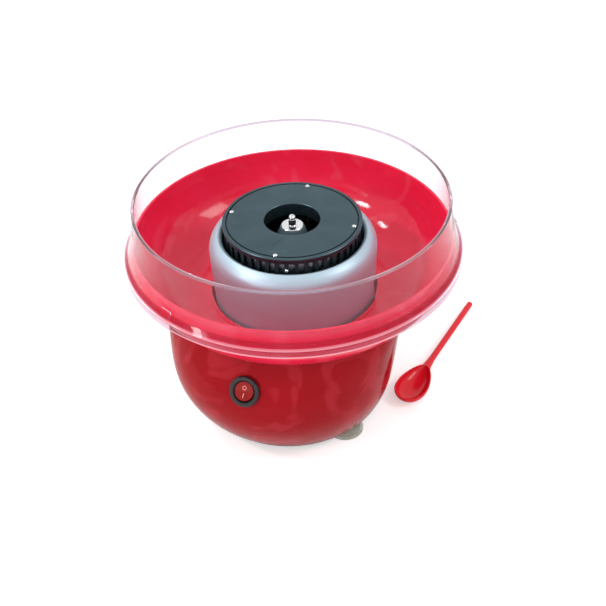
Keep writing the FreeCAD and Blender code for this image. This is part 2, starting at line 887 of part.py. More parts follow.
def head_lid():
    """Black top disc with a groove near its edge and a round well in the middle."""
    top = size("head_top_height")
    under = lid_underside()
    edge = size("head_radius")
    groove = size("groove_radius")
    floor = top - size("groove_depth")
    well = size("well_radius")
    steps = [(well, top - 0.5), (well + 0.5, top), (groove - size("groove_width"), top),
             (groove - size("groove_width"), floor), (groove, floor), (groove, top), (edge - 0.5, top),
             (edge, top - 0.5), (edge, under), (well + size("well_wall"), under),
             (well + size("well_wall"), top - size("well_depth")), (well, top - size("well_depth"))]
    disc = turned("head_disc", steps)
    holes = rivet_holes("lid", size("rivet_radius") + seat_gap / 2.0)
    keep(cut_from("head_disc_drilled", disc, holes), "head_lid")


def rivet_holes(name, radius):
    """Four upright bores on the rivet circle, as one cutting tool."""
    low = size("head_bottom_height") - 5.0
    tools = [cylinder("%s_rivet_hole_%d" % (name, index), radius, 60.0,
                      *round_the_axis(size("rivet_pitch_radius"), SIZES["rivet_angle"] + 90.0 * index),
                      up=low) for index in range(4)]
    return fused(name + "_rivet_holes", tools)


def skirt_radius():
    return size("head_radius") - size("skirt_inset")


def mesh_radius():
    return skirt_radius() - size("skirt_wall") - size("mesh_gap")


def radial_bore(name, radius, start, length, up, angle):
    """A level cylinder that points away from the axis, from a start radius outwards."""
    bore = cylinder(name, radius, length)
    turn = FreeCAD.Rotation(FreeCAD.Vector(0, 0, 1), angle)
    bore.Placement = FreeCAD.Placement(FreeCAD.Vector(), turn.multiply(AXIS_ROTATION["x"]))
    across, along = round_the_axis(start, angle)
    return place(bore, across, along, up)


def side_bores(name, radius):
    """Three level bores through the skirt, for the rivets that hold the mesh band."""
    return compound(name + "_bores", [
        radial_bore("%s_bore_%d" % (name, index), radius, skirt_radius() - 10.0, 20.0,
                    size("pin_rivet_height"), SIZES["pin_rivet_angle"] + 120.0 * index)
        for index in range(3)])


def head_skirt():
    """Slotted black ring below the disc, with its slots placed from its own lower edge."""
    outer = skirt_radius()
    inner = outer - size("skirt_wall")
    top = lid_underside() - seat_gap
    bottom = top - size("skirt_height")
    steps = [(inner, bottom), (outer, bottom), (outer, top), (inner, top)]
    ring = turned("skirt_ring", steps)
    slots = []
    count = int(SIZES["slot_count"])
    for index in range(count):
        angle = SIZES["pin_rivet_angle"] + 360.0 / count * (index + 0.5)
        slots.append(radial_box("slot_%d" % index, inner - 2.0, size("skirt_wall") + 4.0, size("slot_width"),
                                size("slot_height"), bottom + size("slot_bottom_height"), angle))
    slotted = cut_from("skirt_slotted", ring, compound("skirt_slots", slots))
    keep(cut_from("skirt_drilled", slotted, side_bores("skirt", size("pin_rivet_radius") + seat_gap)),
         "head_skirt")


def radial_box(name, start, length, width, height, up, angle):
    """A box that points away from the axis, from a start radius outwards."""
    thing = doc.addObject("Part::Box", name)
    bind(thing, "Length", length)
    bind(thing, "Width", width)
    bind(thing, "Height", height)
    thing.Placement = FreeCAD.Placement(FreeCAD.Vector(), FreeCAD.Rotation(FreeCAD.Vector(0, 0, 1), angle))
    across, along = round_the_axis(start, angle)
    side_across, side_along = round_the_axis(width / 2.0, angle - 90.0)
    return place(thing, across + side_across, along + side_along, up)


def sugar_pan():
    """Aluminium pan under the head, which melts the sugar."""
    floor = size("head_bottom_height")
    wall = size("pan_wall")
    outer = skirt_radius() - size("skirt_wall") - 0.5
    hole = size("pan_hole_radius")
    steps = [(hole, floor), (outer - 2.0, floor), (outer, floor + 2.0), (outer, floor + size("pan_depth")),
             (outer - wall, floor + size("pan_depth")), (outer - wall, floor + 2.4),
             (outer - wall - 1.2, floor + wall), (hole, floor + wall)]
    body = turned("pan_body", steps)
    keep(cut_from("pan_drilled", body, rivet_holes("pan", size("rivet_radius") + seat_gap / 2.0)),
         "sugar_pan")


def mesh_band():
    """Perforated band inside the slots, which the melted sugar is thrown through."""
    outer = mesh_radius()
    inner = outer - size("mesh_wall")
    top = lid_underside() - seat_gap
    bottom = top - size("mesh_height")
    ring = turned("band_ring", [(inner, bottom), (outer, bottom), (outer, top), (inner, top)])
    holes = []
    count = int(SIZES["mesh_hole_count"])
    for index in range(count):
        angle = SIZES["pin_rivet_angle"] + 360.0 / count * (index + 0.5)
        for level in (7.0, 12.0, 17.0):
            holes.append(radial_bore("band_hole", size("mesh_hole_radius"), inner - 2.0,
                                     size("mesh_wall") + 4.0, bottom + level, angle))
    pierced = cut_from("band_pierced", ring, compound("band_holes", holes))
    keep(cut_from("band_drilled", pierced, side_bores("band", size("pin_rivet_radius") + seat_gap)),
         "mesh_band")


def hub_cone():
    """Black hub in the well, with a slot from below that drops over the drive pin."""
    bore = size("shaft_radius") + running_gap
    low = size("head_bottom_height") + size("pan_wall") + seat_gap
    step = size("cone_step_height")
    steps = [(bore, low), (size("cone_base_radius"), low), (size("cone_base_radius"), step),
             (size("cone_top_radius"), size("cone_top_height")), (bore, size("cone_top_height"))]
    body = turned("cone_body", steps)
    top = size("drive_pin_height") + size("drive_pin_radius") + part_gap
    width = (size("drive_pin_radius") + part_gap) * 2.0
    slot = box("cone_slot", size("drive_pin_length") + 1.0, width, top - low + 5.0, 0.0, 0.0, low - 5.0)
    keep(cut_from("cone_slotted", body, slot), "hub_cone")


def hub_washer():
    """Bright washer on top of the hub."""
    low = size("cone_top_height") + seat_gap
    top = low + size("washer_thickness")
    bore = size("shaft_radius") + running_gap
    steps = [(bore, low), (size("washer_radius"), low), (size("washer_radius"), top - 0.4),
             (size("washer_radius") - 0.4, top), (bore, top)]
    keep(turned("hub_washer", steps), "hub_washer")


def head_rivets():
    """Long rivets that clamp the disc and the pan together."""
    shank = size("rivet_radius") - seat_gap / 2.0
    head = size("rivet_head_radius")
    top = size("head_top_height") + seat_gap / 2.0
    low = size("head_bottom_height") - seat_gap / 2.0
    crown = top + size("rivet_head_height")
    steps = [(0, low - 0.8), (head - 0.4, low - 0.8), (head, low - 0.4), (head, low), (shank, low),
             (shank, top), (head, top), (0, crown, (head * head / size("rivet_head_height")
              + size("rivet_head_height")) / 2.0, LEFT)]
    keep(ring_of("head_rivets_body", steps, size("rivet_pitch_radius"), size("rivet_count"),
                 size("rivet_angle")), "head_rivets")


def skirt_rivets():
    """Small rivets that hold the mesh band to the skirt."""
    body = new_body("skirt_rivets_body", many=True)
    sketch = new_sketch(body, "XZ_Plane")
    shank = size("pin_rivet_radius")
    head = size("pin_rivet_head_radius")
    outer = skirt_radius() + seat_gap / 2.0
    inner = mesh_radius() - size("mesh_wall") - seat_gap / 2.0
    level = size("pin_rivet_height")
    steps = [(inner - 0.6, level), (inner - 0.6, level + head), (inner, level + head),
             (inner, level + shank), (outer, level + shank), (outer, level + head),
             (outer + size("pin_rivet_head_height"), level + head - 0.5),
             (outer + size("pin_rivet_head_height"), level)]
    outline(sketch, steps)
    doc.recompute()
    turn = body.newObject("PartDesign::Revolution", "skirt_rivet_turn")
    turn.Profile = sketch
    turn.ReferenceAxis = (sketch, ["Edge1"])
    turn.Angle = 360
    doc.recompute()
    pattern(body, turn, 3)
    keep(place(body, turn=size("pin_rivet_angle")), "skirt_rivets")


# ---------------------------------------------------------------- spindle and motor

def motor_shaft():
    """Steel spindle from the fan up through the head, with a ball on its end."""
    shaft = size("shaft_radius")
    neck = size("neck_radius")
    shoulder = size("shaft_shoulder_height")
    centre = size("ball_top_height") - size("ball_radius")
    rod = cylinder("shaft_rod", shaft, shoulder - size("shaft_bottom_height"),
                   up=size("shaft_bottom_height"))
    stub = cylinder("shaft_neck", neck, centre - shoulder + 1.0, up=shoulder - 1.0)
    ball = doc.addObject("Part::Sphere", "shaft_ball")
    bind(ball, "Radius", size("ball_radius"))
    place(ball, up=centre)
    pin = cylinder("shaft_pin_hole", size("drive_pin_radius") + seat_gap / 2.0, 20.0, -10.0, 0.0,
                   size("drive_pin_height"), "x")
    keep(cut_from("shaft_crossbored", fused("shaft_solid", [rod, stub, ball]), pin), "motor_shaft")


def drive_pin():
    """Cross pin that carries and turns the head."""
    length = size("drive_pin_length")
    keep(cylinder("drive_pin", size("drive_pin_radius"), length, -(length / 2.0), 0.0,
                  size("drive_pin_height"), "x"), "drive_pin")


def snap_ring():
    """Rubber ring under the ball that holds the head down."""
    inner = size("neck_radius") + seat_gap
    outer = size("snap_ring_radius")
    low = size("shaft_shoulder_height") + seat_gap
    top = size("ball_top_height") - size("ball_radius") * 2.0 + 0.4
    steps = [(inner, low), (outer - 0.5, low), (outer, low + 0.8), (outer, top - 0.8), (outer - 0.5, top),
             (inner, top)]
    keep(turned("snap_ring", steps), "snap_ring")


def bearing_bore():
    return size("shaft_radius") + running_gap


def motor_can():
    """Steel can of the motor, closed on top round the upper bearing."""
    outer = size("can_radius")
    inner = outer - size("can_wall")
    top = size("can_top_height")
    seat = size("bearing_radius") + seat_gap
    roof = top - size("can_wall")
    steps = [(inner, size("can_bottom_height")), (outer, size("can_bottom_height")), (outer, top - 1.0),
             (outer - 1.0, top), (seat, top), (seat, roof), (inner, roof)]
    body = turned("can_body", steps)
    holes = [cylinder("can_screw_hole_%d" % side, size("motor_screw_radius"), 10.0,
                      size("motor_screw_pitch") * side, 0.0, roof - 5.0) for side in (-1, 1)]
    keep(cut_from("can_drilled", body, fused("can_holes", holes)), "motor_can")


def motor_bearings():
    """Two sintered bushes that the spindle turns in."""
    top = size("can_top_height")
    radius = size("bearing_radius")
    length = size("bearing_length")
    steps = [(bearing_bore(), top - length + 1.0), (radius - 0.6, top - length + 1.0),
             (radius, top - length + 1.6), (radius, top + 0.4), (radius - 0.6, top + 1.0),
             (bearing_bore(), top + 1.0)]
    keep(turned("motor_bearing_upper", steps), "motor_bearing_upper")
    low = size("can_bottom_height") - size("end_cap_thickness")
    steps = [(bearing_bore(), low), (radius, low), (radius, low + size("end_cap_thickness")),
             (bearing_bore(), low + size("end_cap_thickness"))]
    keep(turned("motor_bearing_lower", steps), "motor_bearing_lower")


def motor_end_cap():
    """Moulded cap that closes the can and carries the lower bush and the brushes."""
    low = size("can_bottom_height") - size("end_cap_thickness")
    top = size("can_bottom_height") - seat_gap
    seat = size("bearing_radius") + seat_gap
    plug = size("can_radius") - size("can_wall") - seat_gap
    steps = [(seat, low), (size("can_radius"), low), (size("can_radius"), top), (plug, top),
             (plug, top + 3.0), (plug - 2.0, top + 3.0), (plug - 2.0, top), (seat, top)]
    keep(turned("motor_end_cap", steps), "motor_end_cap")


def motor_magnets():
    """Two curved magnets inside the can."""
    outer = size("can_radius") - size("can_wall") - seat_gap
    inner = outer - size("magnet_thickness")
    low = size("magnet_bottom_height")
    height = size("magnet_height")
    ring = tube("magnet_ring", outer, inner, height, up=low)
    gap = box("magnet_gap", outer * 3.0, outer * 0.9, height + 4.0, 0.0, 0.0, low - 2.0)
    keep(cut_from("magnets", ring, gap), "motor_magnets")


def rotor_core():
    """Slotted iron core on the spindle."""
    body = turned("core_body", [(size("shaft_radius"), size("core_bottom_height")),
                                (size("core_radius"), size("core_bottom_height")),
                                (size("core_radius"), size("core_bottom_height") + size("core_height")),
                                (size("shaft_radius"), size("core_bottom_height") + size("core_height"))])
    start = size("core_radius") - size("core_slot_depth")
    half = size("core_slot_width") / 2.0
    slot = pocket(body, "XY_Plane", rectangle(start, size("core_radius") + 2.0, -half, half),
                  (size("core_bottom_height") + size("core_height")) * 3.0)
    pattern(body, slot, size("core_slot_count"))
    keep(body, "rotor_core")


def commutator():
    """Copper sleeve that the brushes run on."""
    low = size("commutator_bottom_height")
    top = low + size("commutator_height")
    steps = [(size("shaft_radius"), low), (size("commutator_radius"), low), (size("commutator_radius"), top),
             (size("shaft_radius"), top)]
    keep(turned("commutator", steps), "commutator")


def motor_brushes():
    """Two carbon brushes with their holders, one each side of the commutator."""
    inner = size("commutator_radius") + seat_gap * 2.0
    outer = size("can_radius") - size("can_wall") - seat_gap - 2.2
    level = size("commutator_bottom_height") + 1.5
    width = size("brush_width")
    length = outer - inner
    pair = [box("brush_%d" % side, length, width, width, (inner + length / 2.0) * side, 0.0, level)
            for side in (-1, 1)]
    pillars = [box("holder_%d" % side, width, width, level - size("can_bottom_height") + 1.0,
                   (outer - width / 2.0) * side, 0.0, size("can_bottom_height"))
               for side in (-1, 1)]
    keep(fused("brushes", pair + pillars), "motor_brushes")


def bracket_bottom():
    return size("can_top_height") + 1.2


def motor_bracket():
    """Steel disc that the motor hangs from."""
    low = bracket_bottom()
    disc = cylinder("bracket_disc", size("bracket_radius"), size("bracket_thickness"), up=low)
    holes = [cylinder("bracket_bore", size("bearing_radius") + 1.0, 10.0, up=low - 5.0)]
    holes += [cylinder("bracket_screw_%d" % side, size("motor_screw_radius") + seat_gap, 10.0,
                       size("motor_screw_pitch") * side, 0.0, low - 5.0) for side in (-1, 1)]
    holes += [cylinder("bracket_hole_%d" % index, size("isolator_screw_radius") + seat_gap, 10.0,
                       *round_the_axis(size("isolator_pitch_radius"), 120.0 * index + 30.0), up=low - 5.0)
              for index in range(DECK_SCREW_COUNT)]
    keep(cut_from("bracket_drilled", disc, fused("bracket_holes", holes)), "motor_bracket")


def motor_screws():
    """Two screws through the bracket into the roof of the can."""
    seat = bracket_bottom() + size("bracket_thickness") + seat_gap
    shank = size("motor_screw_radius") - seat_gap
    low = size("can_top_height") - size("can_wall") - 1.0
    steps = [(0, low), (shank, low), (shank, seat), (shank * 2.0, seat), (shank * 2.0, seat + 1.4),
             (shank * 2.0 - 0.5, seat + 2.0), (0, seat + 2.0)]
    keep(ring_of("motor_screws_body", steps, size("motor_screw_pitch"), 2), "motor_screws")


def rubber_isolators():
    """Rubber sleeves between the bracket and the posts of the deck."""
    low = bracket_bottom() + size("bracket_thickness") + seat_gap
    top = deck_underside() - size("post_drop") + 1.0 - seat_gap
    inner = size("isolator_screw_radius") + seat_gap
    radius = size("isolator_radius")
    steps = [(inner, low), (radius, low), (radius, top), (inner, top)]
    keep(ring_of("isolators_body", steps, size("isolator_pitch_radius"), DECK_SCREW_COUNT, 30.0),
         "rubber_isolators")


def isolator_screws():
    """Screws through the bracket and the rubber sleeves into the posts."""
    under = bracket_bottom() - seat_gap
    shank = size("isolator_screw_radius") - seat_gap
    top = deck_underside() - 2.0
    steps = [(0, under - 2.0), (shank * 2.0 - 0.5, under - 2.0), (shank * 2.0, under - 1.4),
             (shank * 2.0, under), (shank, under), (shank, top), (0, top)]
    keep(ring_of("isolator_screws_body", steps, size("isolator_pitch_radius"), DECK_SCREW_COUNT, 30.0),
         "isolator_screws")


def cooling_fan():
    """Fan on the lower end of the spindle, with blades set at a slant."""
    low = size("shaft_bottom_height") + 1.0
    height = size("fan_height")
    hub = tube("fan_hub", size("fan_hub_radius"), size("shaft_radius"), height, up=low)
    length = size("fan_radius") - size("fan_hub_radius") + 1.0
    blades = []
    count = int(SIZES["fan_blade_count"])
    for index in range(count):
        angle = 360.0 / count * index
        blade = doc.addObject("Part::Box", "fan_blade_%d" % index)
        bind(blade, "Length", length)
        bind(blade, "Width", size("fan_blade_thickness"))
        bind(blade, "Height", height)
        tilt = FreeCAD.Rotation(FreeCAD.Vector(1, 0, 0), SIZES["fan_blade_pitch"])
        spin = FreeCAD.Rotation(FreeCAD.Vector(0, 0, 1), angle)
        blade.Placement = FreeCAD.Placement(FreeCAD.Vector(), spin.multiply(tilt))
        across, along = round_the_axis(size("fan_hub_radius") - 1.0, angle)
        blades.append(place(blade, across, along, low + 0.4))
    keep(fused("fan_solid", [hub] + blades), "cooling_fan")


# ---------------------------------------------------------------- heater

def reflector_top():
    return deck_top() + seat_gap + size("reflector_thickness")


def heat_reflector():
    """Thin bright sheet on the deck below the heater."""
    disc = cylinder("reflector_disc", size("reflector_radius"), size("reflector_thickness"),
                    up=deck_top() + seat_gap)
    holes = [cylinder("reflector_bore", size("bearing_radius") + 2.0, 10.0, up=deck_top() - 5.0)]
    holes.append(cylinder("reflector_lead", size("lead_hole_radius"), 10.0, -lead_place(), 0.0,
                          deck_top() - 5.0))
    keep(cut_from("reflector_drilled", disc, fused("reflector_holes", holes)), "heat_reflector")


def ceramic_posts():
    """Ceramic pillars that carry the heater ring above the deck."""
    low = reflector_top() + seat_gap
    top = size("carrier_bottom_height") - seat_gap
    radius = size("post_radius")
    steps = [(0, low), (radius, low), (radius, low + 3.0), (radius - 1.0, low + 4.0),
             (radius - 1.0, top - 4.0), (radius, top - 3.0), (radius, top), (0, top)]
    keep(ring_of("posts_body", steps, size("post_pitch_radius"), DECK_SCREW_COUNT, 90.0), "ceramic_posts")


def heater_carrier():
    """Ceramic ring with a round channel that the heater rod lies in."""
    low = size("carrier_bottom_height")
    middle = size("element_radius")
    half = size("carrier_width") / 2.0
    channel = size("element_rod_radius") + seat_gap
    top = size("element_height")
    steps = [(middle - half, low), (middle + half, low), (middle + half, top), (middle + channel, top),
             (middle, top - channel, channel, RIGHT), (middle - channel, top, channel, RIGHT),
             (middle - half, top)]
    keep(turned("heater_carrier", steps), "heater_carrier")


def heater_element():
    """Tubular heater bent to a ring."""
    ring = doc.addObject("Part::Torus", "heater_ring")
    bind(ring, "Radius1", size("element_radius"))
    bind(ring, "Radius2", size("element_rod_radius"))
    place(ring, up=size("element_height"))
    keep(ring, "heater_element")


def thermostat():
    """Snap-disc cut-out on the reflector, beside the spindle."""
    low = reflector_top() + seat_gap
    can = cylinder("thermostat_can", size("thermostat_radius"), size("thermostat_height"),
                   size("thermostat_place"), 0.0, low)
    ears = box("thermostat_ears", size("thermostat_radius") * 3.0, size("thermostat_radius"), 1.0,
               size("thermostat_place"), 0.0, low)
    keep(fused("thermostat_solid", [can, ears]), "thermostat")


def thermal_fuse():
    """One-shot fuse in a clip on the reflector."""
    low = reflector_top() + seat_gap
    radius = size("fuse_radius")
    length = size("fuse_length")
    body = cylinder("fuse_body", radius, length, -size("thermostat_place"), -(length / 2.0),
                    low + radius + 0.6, "y")
    clip = box("fuse_clip", radius * 2.0, length / 2.0, radius + 0.6, -size("thermostat_place"), 0.0, low)
    keep(fused("fuse_solid", [body, clip]), "thermal_fuse")


# ---------------------------------------------------------------- switch

def switch_bezel():
    """Round black bezel and barrel of the switch, drawn with its axis along -Y."""
    flange = size("bezel_radius")
    thick = size("bezel_thickness")
    edge = size("bezel_edge")
    barrel = size("barrel_radius")
    well = size("rocker_well_radius")
    back = size("barrel_length")
    floor = size("rocker_pivot_depth") + size("rocker_swing_radius") + part_gap
    steps = [(0, -back), (barrel, -back), (barrel, seat_gap), (flange, seat_gap), (flange, thick - edge),
             (flange - edge, thick), (well + 1.0, thick), (well, thick - 1.0), (well, -floor), (0, -floor)]
    body = turned("bezel_body", steps)
    at_switch(body, 90.0)
    pivot = cylinder("pivot_bore", size("rocker_pin_radius") + running_gap,
                     size("barrel_radius") * 2.0 - 1.0, -(size("barrel_radius") - 0.5),
                     *switch_point(size("rocker_pivot_depth")), axis="x")
    keep(cut_from("bezel_bored", body, pivot), "switch_bezel")


def rocker():
    """Red rocker with a shallow V face, held on a pin across the barrel."""
    pivot = size("rocker_pivot_depth")
    disc = cylinder("rocker_disc", size("rocker_radius"), size("rocker_depth") + 6.0, 0.0, -6.0, axis="y")
    swing = doc.addObject("Part::Sphere", "rocker_swing")
    bind(swing, "Radius", size("rocker_swing_radius"))
    place(swing, along=pivot)
    body = new_body("rocker_wedge")
    sketch = new_sketch(body, "YZ_Plane")
    rise = size("rocker_rise")
    reach = size("rocker_radius") + 1.0
    outline(sketch, [(size("rocker_depth"), -reach), (size("rocker_depth"), reach), (-(rise * 0.35), reach),
                     (-(rise * 0.8), 0), (-(rise * 1.9), -reach)])
    doc.recompute()
    pad = body.newObject("PartDesign::Pad", "rocker_wedge_pad")
    pad.Profile = sketch
    pad.Midplane = True
    bind(pad, "Length", size("rocker_radius") * 3.0)
    cap = shared("rocker_cap", shared("rocker_round", disc, swing), body)
    pin = cylinder("rocker_pin", size("rocker_pin_radius"), size("barrel_radius") * 2.0 - 1.4,
                   -(size("barrel_radius") - 0.7), pivot, axis="x")
    keep(at_switch(fused("rocker_solid", [cap, pin])), "rocker")


def switch_terminals():
    """Three flat blades on the back of the switch."""
    middle = size("barrel_length") + seat_gap + size("terminal_length") / 2.0
    blades = [box("blade_%d" % index, size("terminal_width"), size("terminal_length"),
                  size("terminal_thickness"), 0.0, middle, 5.0 * index) for index in (-1, 0, 1)]
    keep(at_switch(fused("blades", blades)), "switch_terminals")


# ---------------------------------------------------------------- cord inlet

def cord_gland():
    """Bush in the rear wall that the mains cord passes through."""
    flange = size("gland_flange_radius")
    thick = size("gland_flange_thickness")
    barrel = size("gland_barrel_radius")
    bore = size("gland_bore_radius")
    length = size("gland_length")
    steps = [(bore, -length), (barrel, -length), (barrel, seat_gap), (flange, seat_gap),
             (flange, thick - 0.8), (flange - 0.8, thick), (bore + 0.8, thick), (bore, thick - 0.8)]
    body = turned("gland_body", steps)
    body.Placement = FreeCAD.Placement(FreeCAD.Vector(), FreeCAD.Rotation(FreeCAD.Vector(1, 0, 0), -90))
    keep(place(body, along=rear_face(), up=size("belly_height")), "cord_gland")


# ---------------------------------------------------------------- wiring in the base

def block_top():
    return plate_top() + seat_gap + size("block_height")


def terminal_block():
    """Screw terminal block on the base plate."""
    low = plate_top() + seat_gap
    solid = box("block_solid", size("block_length"), size("block_width"), size("block_height"),
                -size("wiring_place"), size("wiring_shift"), low)
    wells = [cylinder("block_well_%d" % index, 1.8, 6.0, -size("wiring_place") + 11.0 * index,
                      size("wiring_shift") - 2.0, block_top() - 4.0) for index in (-1, 0, 1)]
    keep(cut_from("block_drilled", solid, fused("block_wells", wells)), "terminal_block")


def rectifier_board():
    """Small board that feeds the motor, on the base plate."""
    low = plate_top() + seat_gap
    across = size("wiring_place")
    along = size("wiring_shift")
    board = box("board_sheet", size("board_length"), size("board_width"), size("board_thickness"),
                across, along, low + 3.0)
    feet = [box("board_foot", 4.0, 4.0, 4.0, across + 14.0 * row, along + 9.0 * column, low)
            for row in (-1, 1) for column in (-1, 1)]
    choke = cylinder("board_choke", 5.0, 8.0, across - 6.0, along, low + 4.0)
    bridge = box("board_bridge", 9.0, 6.0, 7.5, across + 9.0, along + 2.0, low + 4.0)
    keep(fused("board_solid", [board, choke, bridge] + feet), "rectifier_board")


def rounded_path(points):
    """Straight runs through the points, joined by tangent arcs as large as the runs allow."""
    edges = []
    start = points[0]
    for before, corner, after in zip(points, points[1:], points[2:]):
        way_in = corner - before
        way_out = after - corner
        setback = 0.45 * min(way_in.Length, way_out.Length)
        half_turn = way_in.getAngle(way_out) / 2.0
        radius = setback / math.tan(half_turn)
        way_in.normalize()
        way_out.normalize()
        inwards = (way_out - way_in).normalize()
        begin = corner - way_in * setback
        end = corner + way_out * setback
        middle = corner + inwards * (radius / math.cos(half_turn) - radius)
        edges.append(Part.LineSegment(start, begin).toShape())
        edges.append(Part.Arc(begin, middle, end).toShape())
        start = end
    edges.append(Part.LineSegment(start, points[-1]).toShape())
    return Part.Wire(edges)


def lead(name, places):
    """A round insulated wire from one place to the next."""
    points = [FreeCAD.Vector(*[number_of(value) for value in point]) for point in places]
    path = rounded_path(points)
    radius = number_of(size("lead_radius"))
    circle = Part.Wire(Part.Circle(points[0], points[1] - points[0], radius).toShape())
    thing = doc.addObject("Part::Feature", name)
    thing.Shape = path.makePipeShell([circle], True, False)
    keep(thing, name)


def leads():
    """Switch lead and heater lead, inside the base."""
    top = block_top() + seat_gap
    across = -size("wiring_place")
    along = size("wiring_shift") + 3.0
    blade_end = size("barrel_length") + size("terminal_length") + seat_gap * 2.0
    lead("lead_switch", [(0.0, *switch_point(blade_end, -5.0)), (0.0, *switch_point(blade_end + 12.0, -5.0)),
                         (-14.0, *switch_point(blade_end + 26.0, -22.0)),
                         (across + 6.0, along - 24.0, size("belly_height") - 10.0),
                         (across, along, top + 14.0), (across, along, top)])
    deck = deck_underside()
    lead("lead_heater", [(across + 11.0, along, top), (across + 11.0, along, top + 12.0),
                         (-lead_place(), 0.0, top + 34.0), (-lead_place(), 0.0, deck + 6.0),
                         (-size("element_radius"), 0.0, deck + 13.0),
                         (-size("element_radius"), 0.0, size("carrier_bottom_height") - seat_gap)])


# ---------------------------------------------------------------- sugar scoop

def sugar_scoop():
    """Plastic scoop for the sugar, lying beside the machine."""
    half_length = size("scoop_bowl_length") / 2.0
    half_width = size("scoop_bowl_width") / 2.0
    depth = size("scoop_bowl_depth")
    wall = size("scoop_wall")
    shell = half_ellipsoid("scoop_shell", depth, half_length, half_width, True)
    hollow = half_ellipsoid("scoop_hollow", depth - wall, half_length - wall, half_width - wall, False)
    handle_length = size("scoop_length") - size("scoop_bowl_length") + 2.0
    slope = FreeCAD.Rotation(FreeCAD.Vector(0, 1, 0), 90.0 + SIZES["scoop_handle_slope"])
    rod = cylinder("scoop_rod", size("scoop_handle_radius"), handle_length)
    rod.Placement = FreeCAD.Placement(FreeCAD.Vector(), slope)
    place(rod, half_length - 2.0, 0.0, -size("scoop_handle_radius"))
    neck = doc.addObject("Part::Cone", "scoop_neck")
    bind(neck, "Radius1", size("scoop_neck_radius"))
    bind(neck, "Radius2", size("scoop_handle_radius"))
    bind(neck, "Height", size("scoop_neck_length"))
    neck.Placement = FreeCAD.Placement(FreeCAD.Vector(), slope)
    place(neck, half_length - 12.0, 0.0, -size("scoop_handle_radius") - 0.8)
    solid = cut_from("scoop_hollowed", fused("scoop_joined", [shell, rod, neck]), hollow)
    place(solid, size("scoop_place_across"), size("scoop_place_along") + half_length,
          size("scoop_bowl_depth"), size("scoop_turn"))
    keep(solid, "sugar_scoop")


def half_ellipsoid(name, depth, half_length, half_width, lower):
    thing = doc.addObject("Part::Ellipsoid", name)
    bind(thing, "Radius1", depth)
    bind(thing, "Radius2", half_length)
    bind(thing, "Radius3", half_width)
    thing.Angle1 = -90
    thing.Angle2 = 0 if lower else 90
    return thing


# ---------------------------------------------------------------- build, check and write

base_housing()
base_plate()
plate_screws()
feet()
floss_bowl()
splash_guard()
collar()
collar_screws()
head_lid()
head_skirt()
sugar_pan()
mesh_band()
hub_cone()
hub_washer()
head_rivets()
skirt_rivets()
motor_shaft()
drive_pin()
snap_ring()
motor_can()
motor_bearings()
motor_end_cap()
motor_magnets()
rotor_core()
commutator()
motor_brushes()
motor_bracket()
motor_screws()
rubber_isolators()
isolator_screws()
cooling_fan()
heat_reflector()
ceramic_posts()
heater_carrier()
heater_element()
thermostat()
thermal_fuse()
switch_bezel()
rocker()
switch_terminals()
cord_gland()
terminal_block()
rectifier_board()
leads()
sugar_scoop()
doc.recompute()

for thing in doc.Objects:
    if "Invalid" in thing.State or "Error" in thing.State:
        raise RuntimeError("%s failed: %s" % (thing.Label, thing.State))
for node in nodes:
    if node.Shape.isNull() or not node.Shape.isValid() or not node.Shape.Solids:
        raise RuntimeError(node.Label + " has no valid shape")

os.makedirs("parts", exist_ok=True)
for node in nodes:
    node.Shape.exportStep("parts/%s.step" % node.Label)
    print("%-22s solids %3d volume %10.1f" % (node.Label, len(node.Shape.Solids), node.Shape.Volume))
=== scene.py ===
import bpy
import math
from mathutils import Matrix, Vector


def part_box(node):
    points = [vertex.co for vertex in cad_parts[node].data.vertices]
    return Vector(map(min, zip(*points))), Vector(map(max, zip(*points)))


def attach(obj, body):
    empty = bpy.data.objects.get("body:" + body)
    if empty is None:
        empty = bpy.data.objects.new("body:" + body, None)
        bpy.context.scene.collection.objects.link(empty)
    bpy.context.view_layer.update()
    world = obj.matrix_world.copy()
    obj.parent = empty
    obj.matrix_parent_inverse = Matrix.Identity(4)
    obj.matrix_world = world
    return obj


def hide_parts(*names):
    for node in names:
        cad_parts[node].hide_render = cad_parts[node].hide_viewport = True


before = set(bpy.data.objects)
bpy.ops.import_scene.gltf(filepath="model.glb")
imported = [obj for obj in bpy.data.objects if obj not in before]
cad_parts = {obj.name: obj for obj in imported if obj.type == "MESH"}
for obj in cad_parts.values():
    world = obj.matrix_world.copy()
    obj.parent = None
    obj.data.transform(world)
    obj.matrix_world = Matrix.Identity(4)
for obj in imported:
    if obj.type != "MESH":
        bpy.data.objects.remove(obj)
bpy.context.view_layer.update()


# ---------------------------------------------------------------- where it is looked at from
# The camera stands a little to the right of the switch and looks down into the bowl. It isn't held quite
# level, so the whole view leans a couple of degrees.
camera_turn = math.radians(21.0)
camera_reach = 0.700
camera_height = 0.646
camera_dip = math.radians(38.6)
camera_lean = math.radians(2.4)
film_width = 36.0
frame_pixels = 606.0
lens_pixels = 956.0
shift_pixels = 7.4
camera = bpy.data.objects.new("camera", bpy.data.cameras.new("camera"))
bpy.context.scene.collection.objects.link(camera)
bpy.context.scene.camera = camera
bpy.context.scene.view_settings.view_transform = "Standard"
camera.data.sensor_width = film_width
camera.data.lens = film_width * lens_pixels / frame_pixels
camera.data.shift_x = shift_pixels / frame_pixels
camera.data.clip_start = 0.05
camera.data.clip_end = 50.0
camera_place = (math.sin(camera_turn) * camera_reach, -math.cos(camera_turn) * camera_reach, camera_height)
camera.matrix_world = (Matrix.Translation(camera_place)
                       @ Matrix.Rotation(camera_turn, 4, "Z")
                       @ Matrix.Rotation(math.pi / 2.0 - camera_dip, 4, "X")
                       @ Matrix.Rotation(-camera_lean, 4, "Z"))


